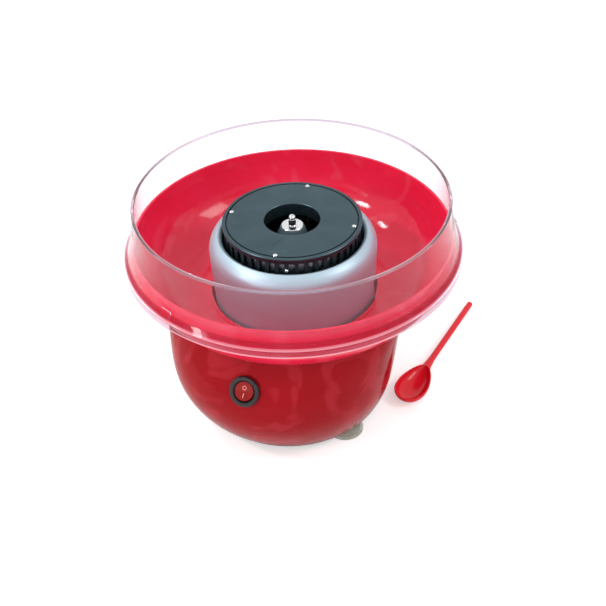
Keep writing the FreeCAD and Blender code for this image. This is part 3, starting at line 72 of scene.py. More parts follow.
# ---------------------------------------------------------------- table top and light
# A white card runs out of sight under the machine, inside a white studio tent. A soft lamp stands at the
# right, and small ones at the left and in front put the glints on the polished bowl and body.
def node(tree, kind, inputs=None, **settings):
    """A node with its settings made and its inputs fed by sockets or plain values."""
    made = tree.nodes.new(kind)
    for key, value in settings.items():
        setattr(made, key, value)
    for key, value in (inputs or {}).items():
        if isinstance(value, bpy.types.NodeSocket):
            tree.links.new(value, made.inputs[key])
        else:
            made.inputs[key].default_value = value
    return made


def reckon(tree, operation, *values, **settings):
    """What a Math node makes of its values, each a number or another node's output."""
    return node(tree, "ShaderNodeMath", dict(enumerate(values)), operation=operation, **settings).outputs[0]


def remap(tree, value, from_low=0.0, from_high=1.0, to_low=0.0, to_high=1.0):
    """A value carried from one span to another, and held at its ends."""
    spans = {"Value": value, "From Min": from_low, "From Max": from_high,
             "To Min": to_low, "To Max": to_high}
    return node(tree, "ShaderNodeMapRange", spans).outputs[0]


def seen_directly(tree, mirrored):
    """1 where the eye looks straight at it or through clear plastic, and where wanted also in a mirror."""
    path = node(tree, "ShaderNodeLightPath").outputs
    seen = reckon(tree, "ADD", path["Is Camera Ray"], path["Is Transmission Ray"], use_clamp=True)
    if mirrored:
        seen = reckon(tree, "ADD", seen, path["Is Glossy Ray"], use_clamp=True)
    return seen


def finish(name, colour, roughness, metallic=0.0, **fixed):
    """A new material with the shader's own sockets set."""
    material = bpy.data.materials.new(name)
    material.use_nodes = True
    shader = material.node_tree.nodes["Principled BSDF"]
    shader.inputs["Base Color"].default_value = colour
    shader.inputs["Roughness"].default_value = roughness
    shader.inputs["Metallic"].default_value = metallic
    for socket, value in fixed.items():
        shader.inputs[socket.replace("_", " ")].default_value = value
    return material


def feed(material, socket, output):
    """Joins a node's output to one of the shader's own sockets."""
    tree = material.node_tree
    tree.links.new(output, tree.nodes["Principled BSDF"].inputs[socket])


tent = bpy.data.worlds.new("tent")
bpy.context.scene.world = tent
tent.use_nodes = True
tent_tree = tent.node_tree
tent_tree.nodes.clear()
strength_unseen = 0.90
tent_strength = remap(tent_tree, seen_directly(tent_tree, True), to_low=strength_unseen)
tent_light = node(tent_tree, "ShaderNodeBackground", {"Color": (1.0, 1.0, 1.0, 1.0),
                                                      "Strength": tent_strength})
node(tent_tree, "ShaderNodeOutputWorld", {"Surface": tent_light.outputs[0]})

bpy.ops.object.select_all(action="DESELECT")
bpy.ops.mesh.primitive_plane_add(size=12.0)
table_top = bpy.context.object
table_top.name = "table_top"
white_card = finish("white_card", (0.90, 0.90, 0.90, 1.0), 0.9, Specular_IOR_Level=0.0,
                    Emission_Color=(1.0, 1.0, 1.0, 1.0))
card_glow = 0.42
card_tree = white_card.node_tree
card_strength = reckon(card_tree, "MULTIPLY", seen_directly(card_tree, False), card_glow)
feed(white_card, "Emission Strength", card_strength)
table_top.data.materials.append(white_card)

lamp_aim = Vector((0.0, 0.0, 0.1))


def soft_lamp(name, place, width, height, power):
    """A rectangle of soft light, turned towards the machine."""
    data = bpy.data.lights.new(name, "AREA")
    data.shape = "RECTANGLE"
    data.size = width
    data.size_y = height
    data.energy = power
    lamp = bpy.data.objects.new(name, data)
    bpy.context.scene.collection.objects.link(lamp)
    lamp.location = place
    lamp.rotation_euler = (lamp_aim - Vector(place)).to_track_quat("-Z", "Y").to_euler()


soft_lamp("lamp_right", (1.2, 0.1, 1.1), 0.5, 0.5, 5.0)
soft_lamp("lamp_front", (-1.0, -1.2, 0.85), 0.30, 0.05, 2.0)
soft_lamp("lamp_left_high", (-0.93, 0.02, 1.25), 0.20, 0.07, 2.0)
soft_lamp("lamp_left_middle", (-0.81, -0.65, 1.11), 0.24, 0.08, 4.0)
soft_lamp("lamp_left_low", (-0.94, -0.95, 0.53), 0.16, 0.07, 1.2)
soft_lamp("lamp_front_low", (-0.45, -1.28, 0.39), 0.20, 0.04, 0.8)


# ---------------------------------------------------------------- housing
# The body is one red ABS moulding with a polished outside. It stands narrow on its feet, swells to the
# switch and is dished on top, where the bowl nests. Its gloss is a little uneven, as thick mouldings are.
def shade(red, green, blue):
    """A colour from its display values, 0 to 255, by the usual screen curve."""
    linear = [(v / 255.0 / 12.92) if v <= 10 else ((v / 255.0 + 0.055) / 1.055) ** 2.4
              for v in (red, green, blue)]
    return (*linear, 1.0)


def blend(tree, mask, lower, upper):
    """A colour that runs from the lower to the upper as the mask goes from 0 to 1."""
    colours = {"Factor": mask, "A": lower, "B": upper}
    return node(tree, "ShaderNodeMix", colours, data_type="RGBA").outputs["Result"]


def on_piece(tree):
    """The place on the piece, in metres."""
    return node(tree, "ShaderNodeTexCoord").outputs["Object"]


def noise(tree, place, scale, detail, distortion=0.0):
    """Soft cloudy noise over the piece."""
    settings = {"Vector": place, "Scale": scale, "Detail": detail, "Distortion": distortion}
    return node(tree, "ShaderNodeTexNoise", settings).outputs["Fac"]


def effect(name, inputs, outputs):
    """An empty node group, with its named inputs to read and its end node to give results to."""
    group = bpy.data.node_groups.new(name, "ShaderNodeTree")
    for label, value in inputs.items():
        socket = group.interface.new_socket(name=label, in_out="INPUT", socket_type="NodeSocketFloat")
        socket.default_value = value
    for label in outputs:
        group.interface.new_socket(name=label, in_out="OUTPUT", socket_type="NodeSocketFloat")
    return group, node(group, "NodeGroupInput").outputs, node(group, "NodeGroupOutput")


def give(group, end, **results):
    """Joins the results to a group's named outputs."""
    for label, output in results.items():
        group.links.new(output, end.inputs[label])


def use(material, group, **values):
    """A group placed in a material with its own values."""
    placed = node(material.node_tree, "ShaderNodeGroup", node_tree=group)
    for label, value in values.items():
        placed.inputs[label].default_value = value
    return placed.outputs


def vary_colour(material, mask, lower, upper):
    """Base colour that runs from one shade to another with a mask."""
    feed(material, "Base Color", blend(material.node_tree, mask, lower, upper))


def lay_over(material, mask, colour):
    """One more colour over the base colour, where a mask shows it."""
    tree = material.node_tree
    under = tree.nodes["Principled BSDF"].inputs["Base Color"].links[0].from_socket
    feed(material, "Base Color", blend(tree, mask, under, colour))


def vary(material, socket, mask, low, high):
    """A shader value that runs from low to high with a mask."""
    feed(material, socket, remap(material.node_tree, mask, to_low=low, to_high=high))


def raise_surface(material, height, depth):
    """Relief from a height mask, its depth in metres."""
    bump = node(material.node_tree, "ShaderNodeBump", {"Height": height, "Distance": depth, "Strength": 1.0})
    feed(material, "Normal", bump.outputs["Normal"])


def worked(name, group, values, plain, lower, upper, roughness, gloss=None, relief=0.0,
           tone_from="Tone", gloss_from="Tone", relief_from="Height", **fixed):
    """A new material with an effect in its colour, and where wanted in its gloss and its surface."""
    material = finish(name, plain, roughness, **fixed)
    marks = use(material, group, **values)
    vary_colour(material, marks[tone_from], lower, upper)
    if gloss:
        vary(material, "Roughness", marks[gloss_from], *gloss)
    if relief:
        raise_surface(material, marks[relief_from], relief)
    return material


def moulded(name, grain, flow, *shades, **rest):
    """A moulded or fired material, with the grain of its mould and the drift of its flow."""
    return worked(name, moulding, {"Grain": grain, "Flow": flow}, *shades, **rest)


def reflections_and_hairlines(material, reflection_size, reflection_amount, reflection_colour, hair_size, clean, worn):
    """Paler patches painted into the colour as reflections, and hair scratches in the gloss."""
    painted_reflections = use(material, painted_reflection_patches, Size=reflection_size, Amount=reflection_amount)
    lay_over(material, painted_reflections["Mask"], reflection_colour)
    vary(material, "Roughness", use(material, rubbed, Size=hair_size)["Mask"], clean, worn)


def dress(material, *names):
    """Puts a material on CAD nodes."""
    for name in names:
        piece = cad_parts[name]
        for place in piece.material_slots:
            place.material = material
        if not piece.material_slots:
            piece.data.materials.append(material)


# Moulding: a fine peel all over, a slow drift of tone, and the two together for a gently wavy skin.
peel_share = 0.03
moulding, start, end = effect("moulding", {"Grain": 900.0, "Flow": 14.0}, ["Height", "Tone", "Waves"])
where = on_piece(moulding)
peel = noise(moulding, where, start["Grain"], 3.0)
flow = noise(moulding, where, start["Flow"], 4.0, 0.6)
fine_peel = reckon(moulding, "MULTIPLY", peel, peel_share)
give(moulding, end, Height=peel, Tone=flow, Waves=reckon(moulding, "ADD", flow, fine_peel))

# Rubbed: noise drawn out long and thin in three directions, of which only the highest threads show.
hair_stretch = 14.0
hair_edge = 0.66
hair_full = 0.72
rubbed, start, end = effect("rubbed", {"Size": 60.0, "Amount": 0.5}, ["Mask"])
where = on_piece(rubbed)
hairs = []
for turn in (0.5, 2.1, 4.0):
    drawn_out = node(rubbed, "ShaderNodeMapping", {"Vector": where, "Scale": (1.0, hair_stretch, 1.0),
                                                   "Rotation": (turn, 0.7 * turn, 1.3 * turn)})
    hair = noise(rubbed, drawn_out.outputs[0], start["Size"], 2.0, 0.3)
    hairs.append(remap(rubbed, hair, hair_edge, hair_full))
all_hairs = reckon(rubbed, "MAXIMUM", reckon(rubbed, "MAXIMUM", hairs[0], hairs[1]), hairs[2])
give(rubbed, end, Mask=reckon(rubbed, "MULTIPLY", all_hairs, start["Amount"]))

# Painted reflection patches: soft swirled patches of a paler colour, standing in for reflections of the
# room.
patch_edge = 0.53
patch_full = 0.62
painted_reflection_patches, start, end = effect("painted_reflection_patches", {"Size": 14.0, "Amount": 0.4}, ["Mask"])
swirl = noise(painted_reflection_patches, on_piece(painted_reflection_patches), start["Size"], 1.5, 2.2)
patch = remap(painted_reflection_patches, swirl, patch_edge, patch_full)
give(painted_reflection_patches, end, Mask=reckon(painted_reflection_patches, "MULTIPLY", patch, start["Amount"]))

housing_red = moulded("housing_red", 500.0, 11.0, shade(150, 12, 22), shade(136, 8, 16), shade(162, 12, 26),
                      roughness=0.16, relief=0.0012, relief_from="Waves", Coat_Weight=0.05,
                      Coat_Roughness=0.03, Specular_IOR_Level=0.09)
# Paler swirled patches painted into the red are painted reflections; hair scratches roughen its gloss.
reflections_and_hairlines(housing_red, 17.0, 0.24, shade(196, 56, 70), 45.0, 0.09, 0.30)
dress(housing_red, "base_housing")


# ---------------------------------------------------------------- base plate
# A flat black polypropylene plate with cooling slots and a fine spark-eroded texture. It closes the body
# from below.
plate_black = moulded("plate_black", 1600.0, 22.0, shade(34, 34, 36), shade(27, 27, 29), shade(46, 46, 48),
                      roughness=0.62, relief=0.00016)
dress(plate_black, "base_plate")


# ---------------------------------------------------------------- screws
# Zinc-plated pan head screws, headed and rolled from steel wire. The three that hold the base plate show
# below it, so the cross recesses are cut in their heads.
def round_the_axis(tree):
    """How far a place is from the spindle's axis, and how high it is, in metres."""
    apart = node(tree, "ShaderNodeSeparateXYZ", {0: on_piece(tree)})
    level = node(tree, "ShaderNodeCombineXYZ", {"X": apart.outputs["X"], "Y": apart.outputs["Y"]})
    out = node(tree, "ShaderNodeVectorMath", {0: level.outputs[0]}, operation="LENGTH")
    return out.outputs["Value"], apart.outputs["Z"]


def turned(name, rings, drift, *shades, metallic=1.0, **rest):
    """A turned, drawn or spun metal, with fine rings round its axis and a tone that drifts over it."""
    return worked(name, turned_metal, {"Rings": rings, "Drift": drift}, *shades, metallic=metallic, **rest)


# Turned metal: rings that follow the radius on a level face and the height on an upright wall.
rings_down_wall = 1.7
turned_metal, start, end = effect("turned_metal", {"Rings": 2500.0, "Drift": 40.0}, ["Height", "Tone"])
radius, height = round_the_axis(turned_metal)
along = reckon(turned_metal, "ADD", radius, reckon(turned_metal, "MULTIPLY", height, rings_down_wall))
rings = node(turned_metal, "ShaderNodeTexNoise", {"W": along, "Scale": start["Rings"], "Detail": 3.0},
             noise_dimensions="1D")
give(turned_metal, end, Height=rings.outputs["Fac"],
     Tone=noise(turned_metal, on_piece(turned_metal), start["Drift"], 3.0))

screw_zinc = turned("screw_zinc", 4000.0, 300.0, shade(176, 178, 176), shade(150, 150, 144),
                    shade(196, 198, 200), roughness=0.32, gloss=(0.24, 0.44))
dress(screw_zinc, "plate_screws", "collar_screws", "isolator_screws", "motor_screws")


def pick(piece):
    """Selects one piece and nothing else."""
    bpy.ops.object.select_all(action="DESELECT")
    piece.select_set(True)
    bpy.context.view_layer.objects.active = piece


def own_copy(name, source):
    """A copy of a CAD node's mesh as a new object, with its loose corners joined."""
    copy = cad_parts[source].copy()
    copy.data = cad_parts[source].data.copy()
    copy.name = name
    for key in list(copy.keys()):
        del copy[key]
    copy.parent = None
    bpy.context.scene.collection.objects.link(copy)
    pick(copy)
    bpy.ops.object.mode_set(mode="EDIT")
    bpy.ops.mesh.select_all(action="SELECT")
    bpy.ops.mesh.remove_doubles(threshold=0.00001)
    bpy.ops.mesh.customdata_custom_splitnormals_clear()
    bpy.ops.object.mode_set(mode="OBJECT")
    return copy


def apply_modifiers(piece):
    """Turns a piece's modifiers into its mesh."""
    pick(piece)
    for modifier in list(piece.modifiers):
        bpy.ops.object.modifier_apply(modifier=modifier.name)


def carved(piece, tool, way="DIFFERENCE"):
    """Cuts a tool out of a piece, or joins the two, and takes the tool away."""
    modifier = piece.modifiers.new("cut", "BOOLEAN")
    modifier.operation = way
    modifier.object = tool
    modifier.solver = "EXACT"
    apply_modifiers(piece)
    bpy.data.objects.remove(tool)


def settle(piece):
    """Leaves a piece's object at the origin, with its place in its mesh."""
    pick(piece)
    bpy.ops.object.transform_apply(location=True, rotation=True, scale=True)


def cross_recess(place, width, depth):
    """A four-winged driver point, ready to be cut out of a screw head."""
    wing_thickness = width * 0.24
    wings = []
    for turn in (0.0, math.pi / 2.0):
        bpy.ops.object.select_all(action="DESELECT")
        bpy.ops.mesh.primitive_cube_add(size=1.0, location=place, rotation=(0.0, 0.0, turn))
        wing = bpy.context.object
        wing.scale = (width, wing_thickness, depth * 2.0)
        settle(wing)
        wings.append(wing)
    carved(wings[0], wings[1], "UNION")
    return wings[0]


head_width = 0.0064
head_flat = 0.0004
facing_down = -0.9
recess_width = 0.0034
recess_depth = 0.0011
screws = own_copy("plate_screw_set", "plate_screws")
screws_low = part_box("plate_screws")[0].z
heads = []
for face in screws.data.polygons:
    if face.center.z < screws_low + head_flat and face.normal.z < facing_down:
        near = [head for head in heads if (head[0] - face.center).length < head_width]
        if near:
            near[0].append(face.center.copy())
        else:
            heads.append([face.center.copy()])
for head in heads:
    across = [spot.x for spot in head]
    along = [spot.y for spot in head]
    middle = ((min(across) + max(across)) / 2.0, (min(along) + max(along)) / 2.0, screws_low)
    carved(screws, cross_recess(middle, recess_width, recess_depth))
screws.data.materials.clear()
screws.data.materials.append(screw_zinc)
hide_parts("plate_screws")
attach(screws, "base")


# ---------------------------------------------------------------- feet
# Three suction cups of soft clear PVC, greyish green where they are thick. Each is moulded in one with a
# button, which is pulled through a hole in the base plate.
foot_pvc = moulded("foot_pvc", 700.0, 90.0, shade(186, 186, 172), shade(160, 160, 144), shade(206, 206, 194),
                   roughness=0.10, gloss=(0.10, 0.28), relief=0.00004, IOR=1.52, Transmission_Weight=0.8)
dress(foot_pvc, "foot_front_left", "foot_front_right", "foot_rear")


# ---------------------------------------------------------------- switch bezel and blades
# A round panel switch in satin black nylon, bezel and barrel in one, which snaps into the sloping front of
# the body. Three tinned brass blades stand on its back.
switch_black = moulded("switch_black", 1500.0, 120.0, shade(30, 22, 25), shade(24, 17, 20),
                       shade(44, 34, 38), roughness=0.28, relief=0.00005, Specular_IOR_Level=0.3)
dress(switch_black, "switch_bezel")


def scuffed(name, size, plain, clean, worn, **rest):
    """A material with rubbed marks in its colour."""
    material = finish(name, plain, **rest)
    vary_colour(material, use(material, rubbed, Size=size)["Mask"], clean, worn)
    return material


terminal_tin = scuffed("terminal_tin", 300.0, shade(206, 186, 140), shade(214, 198, 158),
                       shade(170, 140, 86), roughness=0.34, metallic=1.0)
dress(terminal_tin, "switch_terminals")


# ---------------------------------------------------------------- rocker
# A slightly see-through red rocker with a shallow V face, held on a pin across the barrel. A ring and a bar
# are printed on its two halves in pale paint.
rocker_red = moulded("rocker_red", 1100.0, 160.0, shade(140, 16, 16), shade(126, 12, 12), shade(166, 30, 26),
                     roughness=0.24, relief=0.00003, Transmission_Weight=0.10, Specular_IOR_Level=0.16)
dress(rocker_red, "rocker")
mark_paint = moulded("mark_paint", 2600.0, 900.0, shade(250, 158, 146), shade(240, 132, 122),
                     shade(255, 186, 172), roughness=0.5)
face_slope = math.radians(28.0)
face_middle = Vector((0.0, -0.1275, 0.090))
into_face = Vector((0.0, math.cos(face_slope), -math.sin(face_slope)))
up_face = Vector((0.0, math.sin(face_slope), math.cos(face_slope)))
mark_height = 0.0032
paint_thickness = 0.00005
stand_off = 0.02


def on_rocker(piece, name, height):
    """Lays a flat mark on the rocker's face at a height above its middle."""
    before_face = face_middle + up_face * height - into_face * stand_off
    spot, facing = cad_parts["rocker"].ray_cast(before_face, into_face)[1:3]
    piece.name = name
    lay = facing.to_track_quat("Z", "Y").to_matrix().to_4x4()
    piece.matrix_world = Matrix.Translation(spot + facing * paint_thickness) @ lay @ piece.matrix_world
    settle(piece)
    piece.data.materials.append(mark_paint)
    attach(piece, "rocker")


ring_radius = 0.00165
ring_half_stroke = 0.00030
ring_squash = (0.9, 1.0, 0.5)
bpy.ops.object.select_all(action="DESELECT")
bpy.ops.mesh.primitive_torus_add(major_radius=ring_radius, minor_radius=ring_half_stroke, major_segments=40,
                                 minor_segments=8)
ring = bpy.context.object
ring.scale = ring_squash
on_rocker(ring, "mark_off", mark_height)
bar_width = 0.0007
bar_length = 0.0038
bar_thickness = 0.0003
bar_rounding = 0.00012
bpy.ops.object.select_all(action="DESELECT")
bpy.ops.mesh.primitive_cube_add(size=1.0)
bar = bpy.context.object
bar.scale = (bar_width, bar_length, bar_thickness)
settle(bar)
rounding = bar.modifiers.new("round", "BEVEL")
rounding.width = bar_rounding
rounding.segments = 3
apply_modifiers(bar)
on_rocker(bar, "mark_on", -mark_height)


# ---------------------------------------------------------------- cord inlet
# A soft black PVC bush, snapped into the hole in the rear wall where the mains cord goes in. It keeps the
# edge of the hole off the cord.
bush_pvc = moulded("bush_pvc", 1300.0, 110.0, shade(30, 30, 31), shade(24, 24, 25), shade(42, 42, 43),
                   roughness=0.48, relief=0.00008)
dress(bush_pvc, "cord_gland")


# ---------------------------------------------------------------- screw block and rectifier board
# A nylon screw block joins the mains to the leads, and a small lacquered board makes direct current for
# the motor. Both stand on the base plate.
block_nylon = moulded("block_nylon", 1200.0, 120.0, shade(226, 222, 208), shade(214, 208, 190),
                      shade(236, 233, 222), roughness=0.42, Subsurface_Weight=0.05)
dress(block_nylon, "terminal_block")
board_lacquer = moulded("board_lacquer", 2400.0, 260.0, shade(28, 104, 58), shade(18, 84, 44),
                        shade(42, 122, 70), roughness=0.28, Coat_Weight=0.4)
dress(board_lacquer, "rectifier_board")


# ---------------------------------------------------------------- inner leads
# Two leads covered in heat-proof silicone run from the screw block, one to a blade of the switch and one up
# through the deck to the heating ring.
lead_silicone = moulded("lead_silicone", 1900.0, 180.0, shade(214, 210, 202), shade(200, 196, 186),
                        shade(228, 225, 219), roughness=0.46)
dress(lead_silicone, "lead_switch", "lead_heater")


# ---------------------------------------------------------------- motor can and magnets
# A flat-can brushed motor. The can is drawn from steel with a yellow zinc tint, and two curved ferrite
# magnets sit against its wall inside.
can_steel = turned("can_steel", 1400.0, 60.0, shade(196, 190, 168), shade(180, 168, 132),
                   shade(206, 204, 194), roughness=0.34, gloss=(0.26, 0.46), relief=0.00003)
dress(can_steel, "motor_can")
ferrite = moulded("ferrite", 3000.0, 150.0, shade(70, 70, 74), shade(52, 52, 56), shade(92, 92, 96),
                  roughness=0.55, relief=0.0001, tone_from="Height")
dress(ferrite, "motor_magnets")


# ---------------------------------------------------------------- motor end cap, bushes and brushes
# A cap of glass-filled nylon closes the can from below. It carries the lower of two oil-soaked bronze
# bushes, and two carbon brushes that run on the commutator.
cap_nylon = moulded("cap_nylon", 1700.0, 90.0, shade(38, 38, 40), shade(28, 28, 30), shade(56, 56, 58),
                    roughness=0.5, relief=0.0001)
dress(cap_nylon, "motor_end_cap")
bearing_bronze = turned("bearing_bronze", 3500.0, 400.0, shade(186, 160, 118), shade(160, 132, 92),
                        shade(206, 184, 146), roughness=0.36)
dress(bearing_bronze, "motor_bearing_upper", "motor_bearing_lower")
brush_carbon = scuffed("brush_carbon", 420.0, shade(46, 44, 44), shade(40, 39, 39), shade(84, 80, 78),
                       roughness=0.66)
dress(brush_carbon, "motor_brushes")


# ---------------------------------------------------------------- rotor and fan
# The rotor's core is a stack of stamped iron sheets, pressed on the spindle above a copper commutator. A
# grey nylon fan sits on the spindle's lower end.
core_iron = finish("core_iron", shade(112, 106, 100), 0.5, 1.0)
stack = {"Vector": on_piece(core_iron.node_tree), "Scale": 320.0, "Distortion": 0.4}
sheets = node(core_iron.node_tree, "ShaderNodeTexWave", stack, bands_direction="Z").outputs["Fac"]
vary_colour(core_iron, sheets, shade(74, 68, 64), shade(138, 132, 124))
raise_surface(core_iron, sheets, 0.00012)
dress(core_iron, "rotor_core")
bar_copper = turned("bar_copper", 3000.0, 500.0, shade(206, 134, 96), shade(176, 104, 70),
                    shade(224, 160, 122), roughness=0.3)
dress(bar_copper, "commutator")
fan_nylon = moulded("fan_nylon", 1100.0, 60.0, shade(120, 124, 126), shade(104, 108, 110),
                    shade(140, 144, 146), roughness=0.46, relief=0.00008)
dress(fan_nylon, "cooling_fan")


# ---------------------------------------------------------------- motor bracket
# The motor hangs from a galvanised steel disc. Rubber sleeves between the disc and the posts of the deck
# keep its hum from the body.
bracket_zinc = finish("bracket_zinc", shade(170, 174, 176), 0.42, 1.0)
grains = {"Vector": on_piece(bracket_zinc.node_tree), "Scale": 220.0}
spangle = node(bracket_zinc.node_tree, "ShaderNodeTexVoronoi", grains).outputs["Distance"]
vary_colour(bracket_zinc, spangle, shade(188, 192, 194), shade(142, 148, 152))
vary(bracket_zinc, "Roughness", spangle, 0.30, 0.60)
dress(bracket_zinc, "motor_bracket")
isolator_rubber = moulded("isolator_rubber", 2200.0, 200.0, shade(34, 34, 34), shade(26, 26, 26),
                          shade(52, 52, 52), roughness=0.74, relief=0.0001)
dress(isolator_rubber, "rubber_isolators")


# ---------------------------------------------------------------- spindle
# A ground steel spindle with a polished ball on its end. A cross pin through it turns the head, and a black
# rubber ring under the ball holds the head down.
spindle_steel = turned("spindle_steel", 5000.0, 250.0, shade(214, 216, 218), shade(196, 198, 200),
                       shade(228, 230, 232), roughness=0.12, gloss=(0.07, 0.20))
dress(spindle_steel, "motor_shaft", "drive_pin")
ring_black = moulded("ring_black", 2600.0, 500.0, shade(22, 22, 24), shade(14, 14, 16), shade(34, 34, 36),
                     roughness=0.6, Specular_IOR_Level=0.15)
dress(ring_black, "snap_ring")


# ---------------------------------------------------------------- heating rod and its ceramics
# A sheathed heating rod, blued by heat, lies in a round channel of a steatite ring. Ceramic pillars hold
# the ring above the deck.
steatite = moulded("steatite", 1500.0, 70.0, shade(228, 222, 206), shade(208, 198, 176),
                   shade(240, 236, 226), roughness=0.72, relief=0.00012)
dress(steatite, "ceramic_posts", "heater_carrier")
sheath = moulded("sheath", 900.0, 45.0, shade(132, 118, 108), shade(92, 78, 84), shade(164, 140, 104),
                 roughness=0.4, gloss=(0.30, 0.55), metallic=1.0)
dress(sheath, "heater_element")


# ---------------------------------------------------------------- reflector and cut-outs
# A thin bright sheet on the deck throws the heat back up. A snap-disc thermostat in a phenolic case and a
# tinned thermal fuse are fixed on it, beside the spindle.
reflector_sheet = turned("reflector_sheet", 900.0, 30.0, shade(222, 222, 222), shade(206, 200, 190),
                         shade(230, 230, 232), roughness=0.2, gloss=(0.14, 0.34), gloss_from="Height")
dress(reflector_sheet, "heat_reflector")
phenolic = moulded("phenolic", 1400.0, 240.0, shade(92, 54, 34), shade(74, 42, 26), shade(112, 68, 44),
                   roughness=0.4)
dress(phenolic, "thermostat")
fuse_tin = scuffed("fuse_tin", 350.0, shade(206, 208, 210), shade(212, 214, 216), shade(160, 160, 158),
                   roughness=0.28, metallic=1.0)
dress(fuse_tin, "thermal_fuse")


# ---------------------------------------------------------------- collar
# A spun metal ring with a rolled top edge, lacquered silver grey. It stands round the head and is screwed
# on from below the deck.
collar_silver = turned("collar_silver", 700.0, 18.0, shade(176, 199, 213), shade(168, 191, 206),
                       shade(186, 208, 220), roughness=0.44, gloss=(0.36, 0.50), metallic=0.45,
                       Coat_Weight=0.1, Coat_Roughness=0.25)
raise_surface(collar_silver, use(collar_silver, moulding, Grain=1300.0, Flow=30.0)["Height"], 0.00004)
dress(collar_silver, "collar")


# ---------------------------------------------------------------- head disc
# The top of the spinning head is a dark anodised disc with a groove near its edge and a round well. Use
# has left hair scratches on it and two longer ones in front of the well.
head_black = turned("head_black", 1500.0, 28.0, shade(74, 88, 96), shade(54, 74, 82), shade(78, 98, 106),
                    roughness=0.34, relief=0.00003, metallic=0.9)
vary(head_black, "Roughness", use(head_black, rubbed, Size=38.0, Amount=0.75)["Mask"], 0.33, 0.18)
dress(head_black, "head_lid")
lid_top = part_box("head_lid")[1].z
groove_radius = 0.0581
groove_half_width = 0.00055


def scratch(material, start, end, width, colour):
    """A fine line dragged across the top of the disc from one place to another, in metres."""
    tree = material.node_tree
    start = Vector((*start, lid_top))
    run = Vector((*end, lid_top)) - start
    way = tuple(run.normalized())
    along = node(tree, "ShaderNodeVectorMath", {0: on_piece(tree), 1: tuple(start)}, operation="SUBTRACT")
    far = node(tree, "ShaderNodeVectorMath", {0: along.outputs[0], 1: way}, operation="DOT_PRODUCT")
    held = reckon(tree, "MINIMUM", reckon(tree, "MAXIMUM", far.outputs["Value"], 0.0), run.length)
    foot = node(tree, "ShaderNodeVectorMath", {0: way, "Scale": held}, operation="SCALE")
    gap = node(tree, "ShaderNodeVectorMath", {0: along.outputs[0], 1: foot.outputs[0]}, operation="DISTANCE")
    lay_over(material, remap(tree, gap.outputs["Value"], width, 0.0), colour)


scratch(head_black, (-0.0021, -0.0447), (0.0031, -0.0284), 0.00045, shade(30, 40, 46))
scratch(head_black, (-0.0035, -0.0523), (0.0118, -0.0476), 0.00025, shade(104, 124, 132))
# Painted shade: a thin near-black ring laid into the colour along the groove, for the shade inside it.
radius, height = round_the_axis(head_black.node_tree)
groove_painted_shade = reckon(head_black.node_tree, "COMPARE", radius, groove_radius, groove_half_width)
lay_over(head_black, groove_painted_shade, shade(12, 15, 18))


# ---------------------------------------------------------------- slotted ring
# A ring of the same dark metal below the disc, spun from sheet, with upright slots all round. The floss is
# thrown out through them.
skirt_black = turned("skirt_black", 1100.0, 120.0, shade(44, 58, 65), shade(34, 46, 53), shade(60, 76, 84),
                     roughness=0.30, gloss=(0.28, 0.46), metallic=0.8)
dress(skirt_black, "head_skirt")


# ---------------------------------------------------------------- sugar pan and band
# The aluminium pan under the head melts the sugar. Its near-black colour is painted shade, for the
# shadow it lies in under the head. Round it stands a band of steel sheet with fine holes, which the
# melted sugar is thrown through.
# Painted shade: the pan is coloured near black.
pan_alloy = turned("pan_alloy", 1000.0, 40.0, shade(60, 60, 62), shade(40, 38, 38), shade(76, 76, 78),
                   roughness=0.46, relief=0.00004, metallic=0.7)
dress(pan_alloy, "sugar_pan")
mesh_steel = turned("mesh_steel", 1800.0, 160.0, shade(178, 180, 182), shade(156, 156, 154),
                    shade(196, 198, 200), roughness=0.3)
dress(mesh_steel, "mesh_band")


# ---------------------------------------------------------------- hub, washer and rivets
# A grey nylon hub in the well drops over the spindle's cross pin, under a bright washer. Four long rivets
# clamp the disc to the pan, and small ones hold the band to the slotted ring.
hub_nylon = moulded("hub_nylon", 1500.0, 130.0, shade(80, 98, 105), shade(70, 87, 94), shade(92, 109, 116),
                    roughness=0.36, relief=0.00006)
dress(hub_nylon, "hub_cone")
polished = turned("polished", 4500.0, 350.0, shade(226, 229, 230), shade(210, 213, 215),
                  shade(238, 240, 241), roughness=0.12, gloss=(0.08, 0.20))
dress(polished, "hub_washer", "head_rivets", "skirt_rivets")


# ---------------------------------------------------------------- floss bowl
# The bowl is moulded in a brighter red than the body and polished inside and out. It lies loose on the
# deck. Handling has left hair scratches in the gloss, and paler patches painted into its red are painted
# reflections.
bowl_red = moulded("bowl_red", 420.0, 16.0, shade(230, 18, 58), shade(228, 26, 58), shade(240, 44, 82),
                   roughness=0.12, relief=0.0016, relief_from="Waves", Coat_Weight=0.15,
                   Coat_Roughness=0.03, Specular_IOR_Level=0.26)
# Painted reflections: paler pink patches laid over the red.
reflections_and_hairlines(bowl_red, 13.0, 0.28, shade(240, 88, 112), 26.0, 0.10, 0.32)
dress(bowl_red, "floss_bowl")


# ---------------------------------------------------------------- splash guard
# A thin clear ring with a faint lavender cast, moulded in one with the small tabs that locate it on the
# flange of the bowl. Light goes through it almost without a shadow. Its cut edges and rim get a faint
# painted glow, and its foot a band of painted shade.
guard_low, guard_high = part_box("splash_guard")
rim_bead = 0.0024
rim_fade = 0.0006
foot_height = 0.0105
foot_fade = 0.0025
ledge_height = 0.0070
edge_half_width = 0.0005
painted_rim_glow = 0.55
slant_edge = 0.55
slant_full = 0.85
open_at_slant = 0.75
guard_clear = finish("guard_clear", shade(250, 248, 253), 0.02, IOR=1.22, Transmission_Weight=1.0,
                     Emission_Strength=0.35)
haze = use(guard_clear, moulding, Grain=260.0, Flow=16.0)
vary(guard_clear, "Roughness", haze["Tone"], 0.0, 0.05)
raise_surface(guard_clear, haze["Tone"], 0.0004)
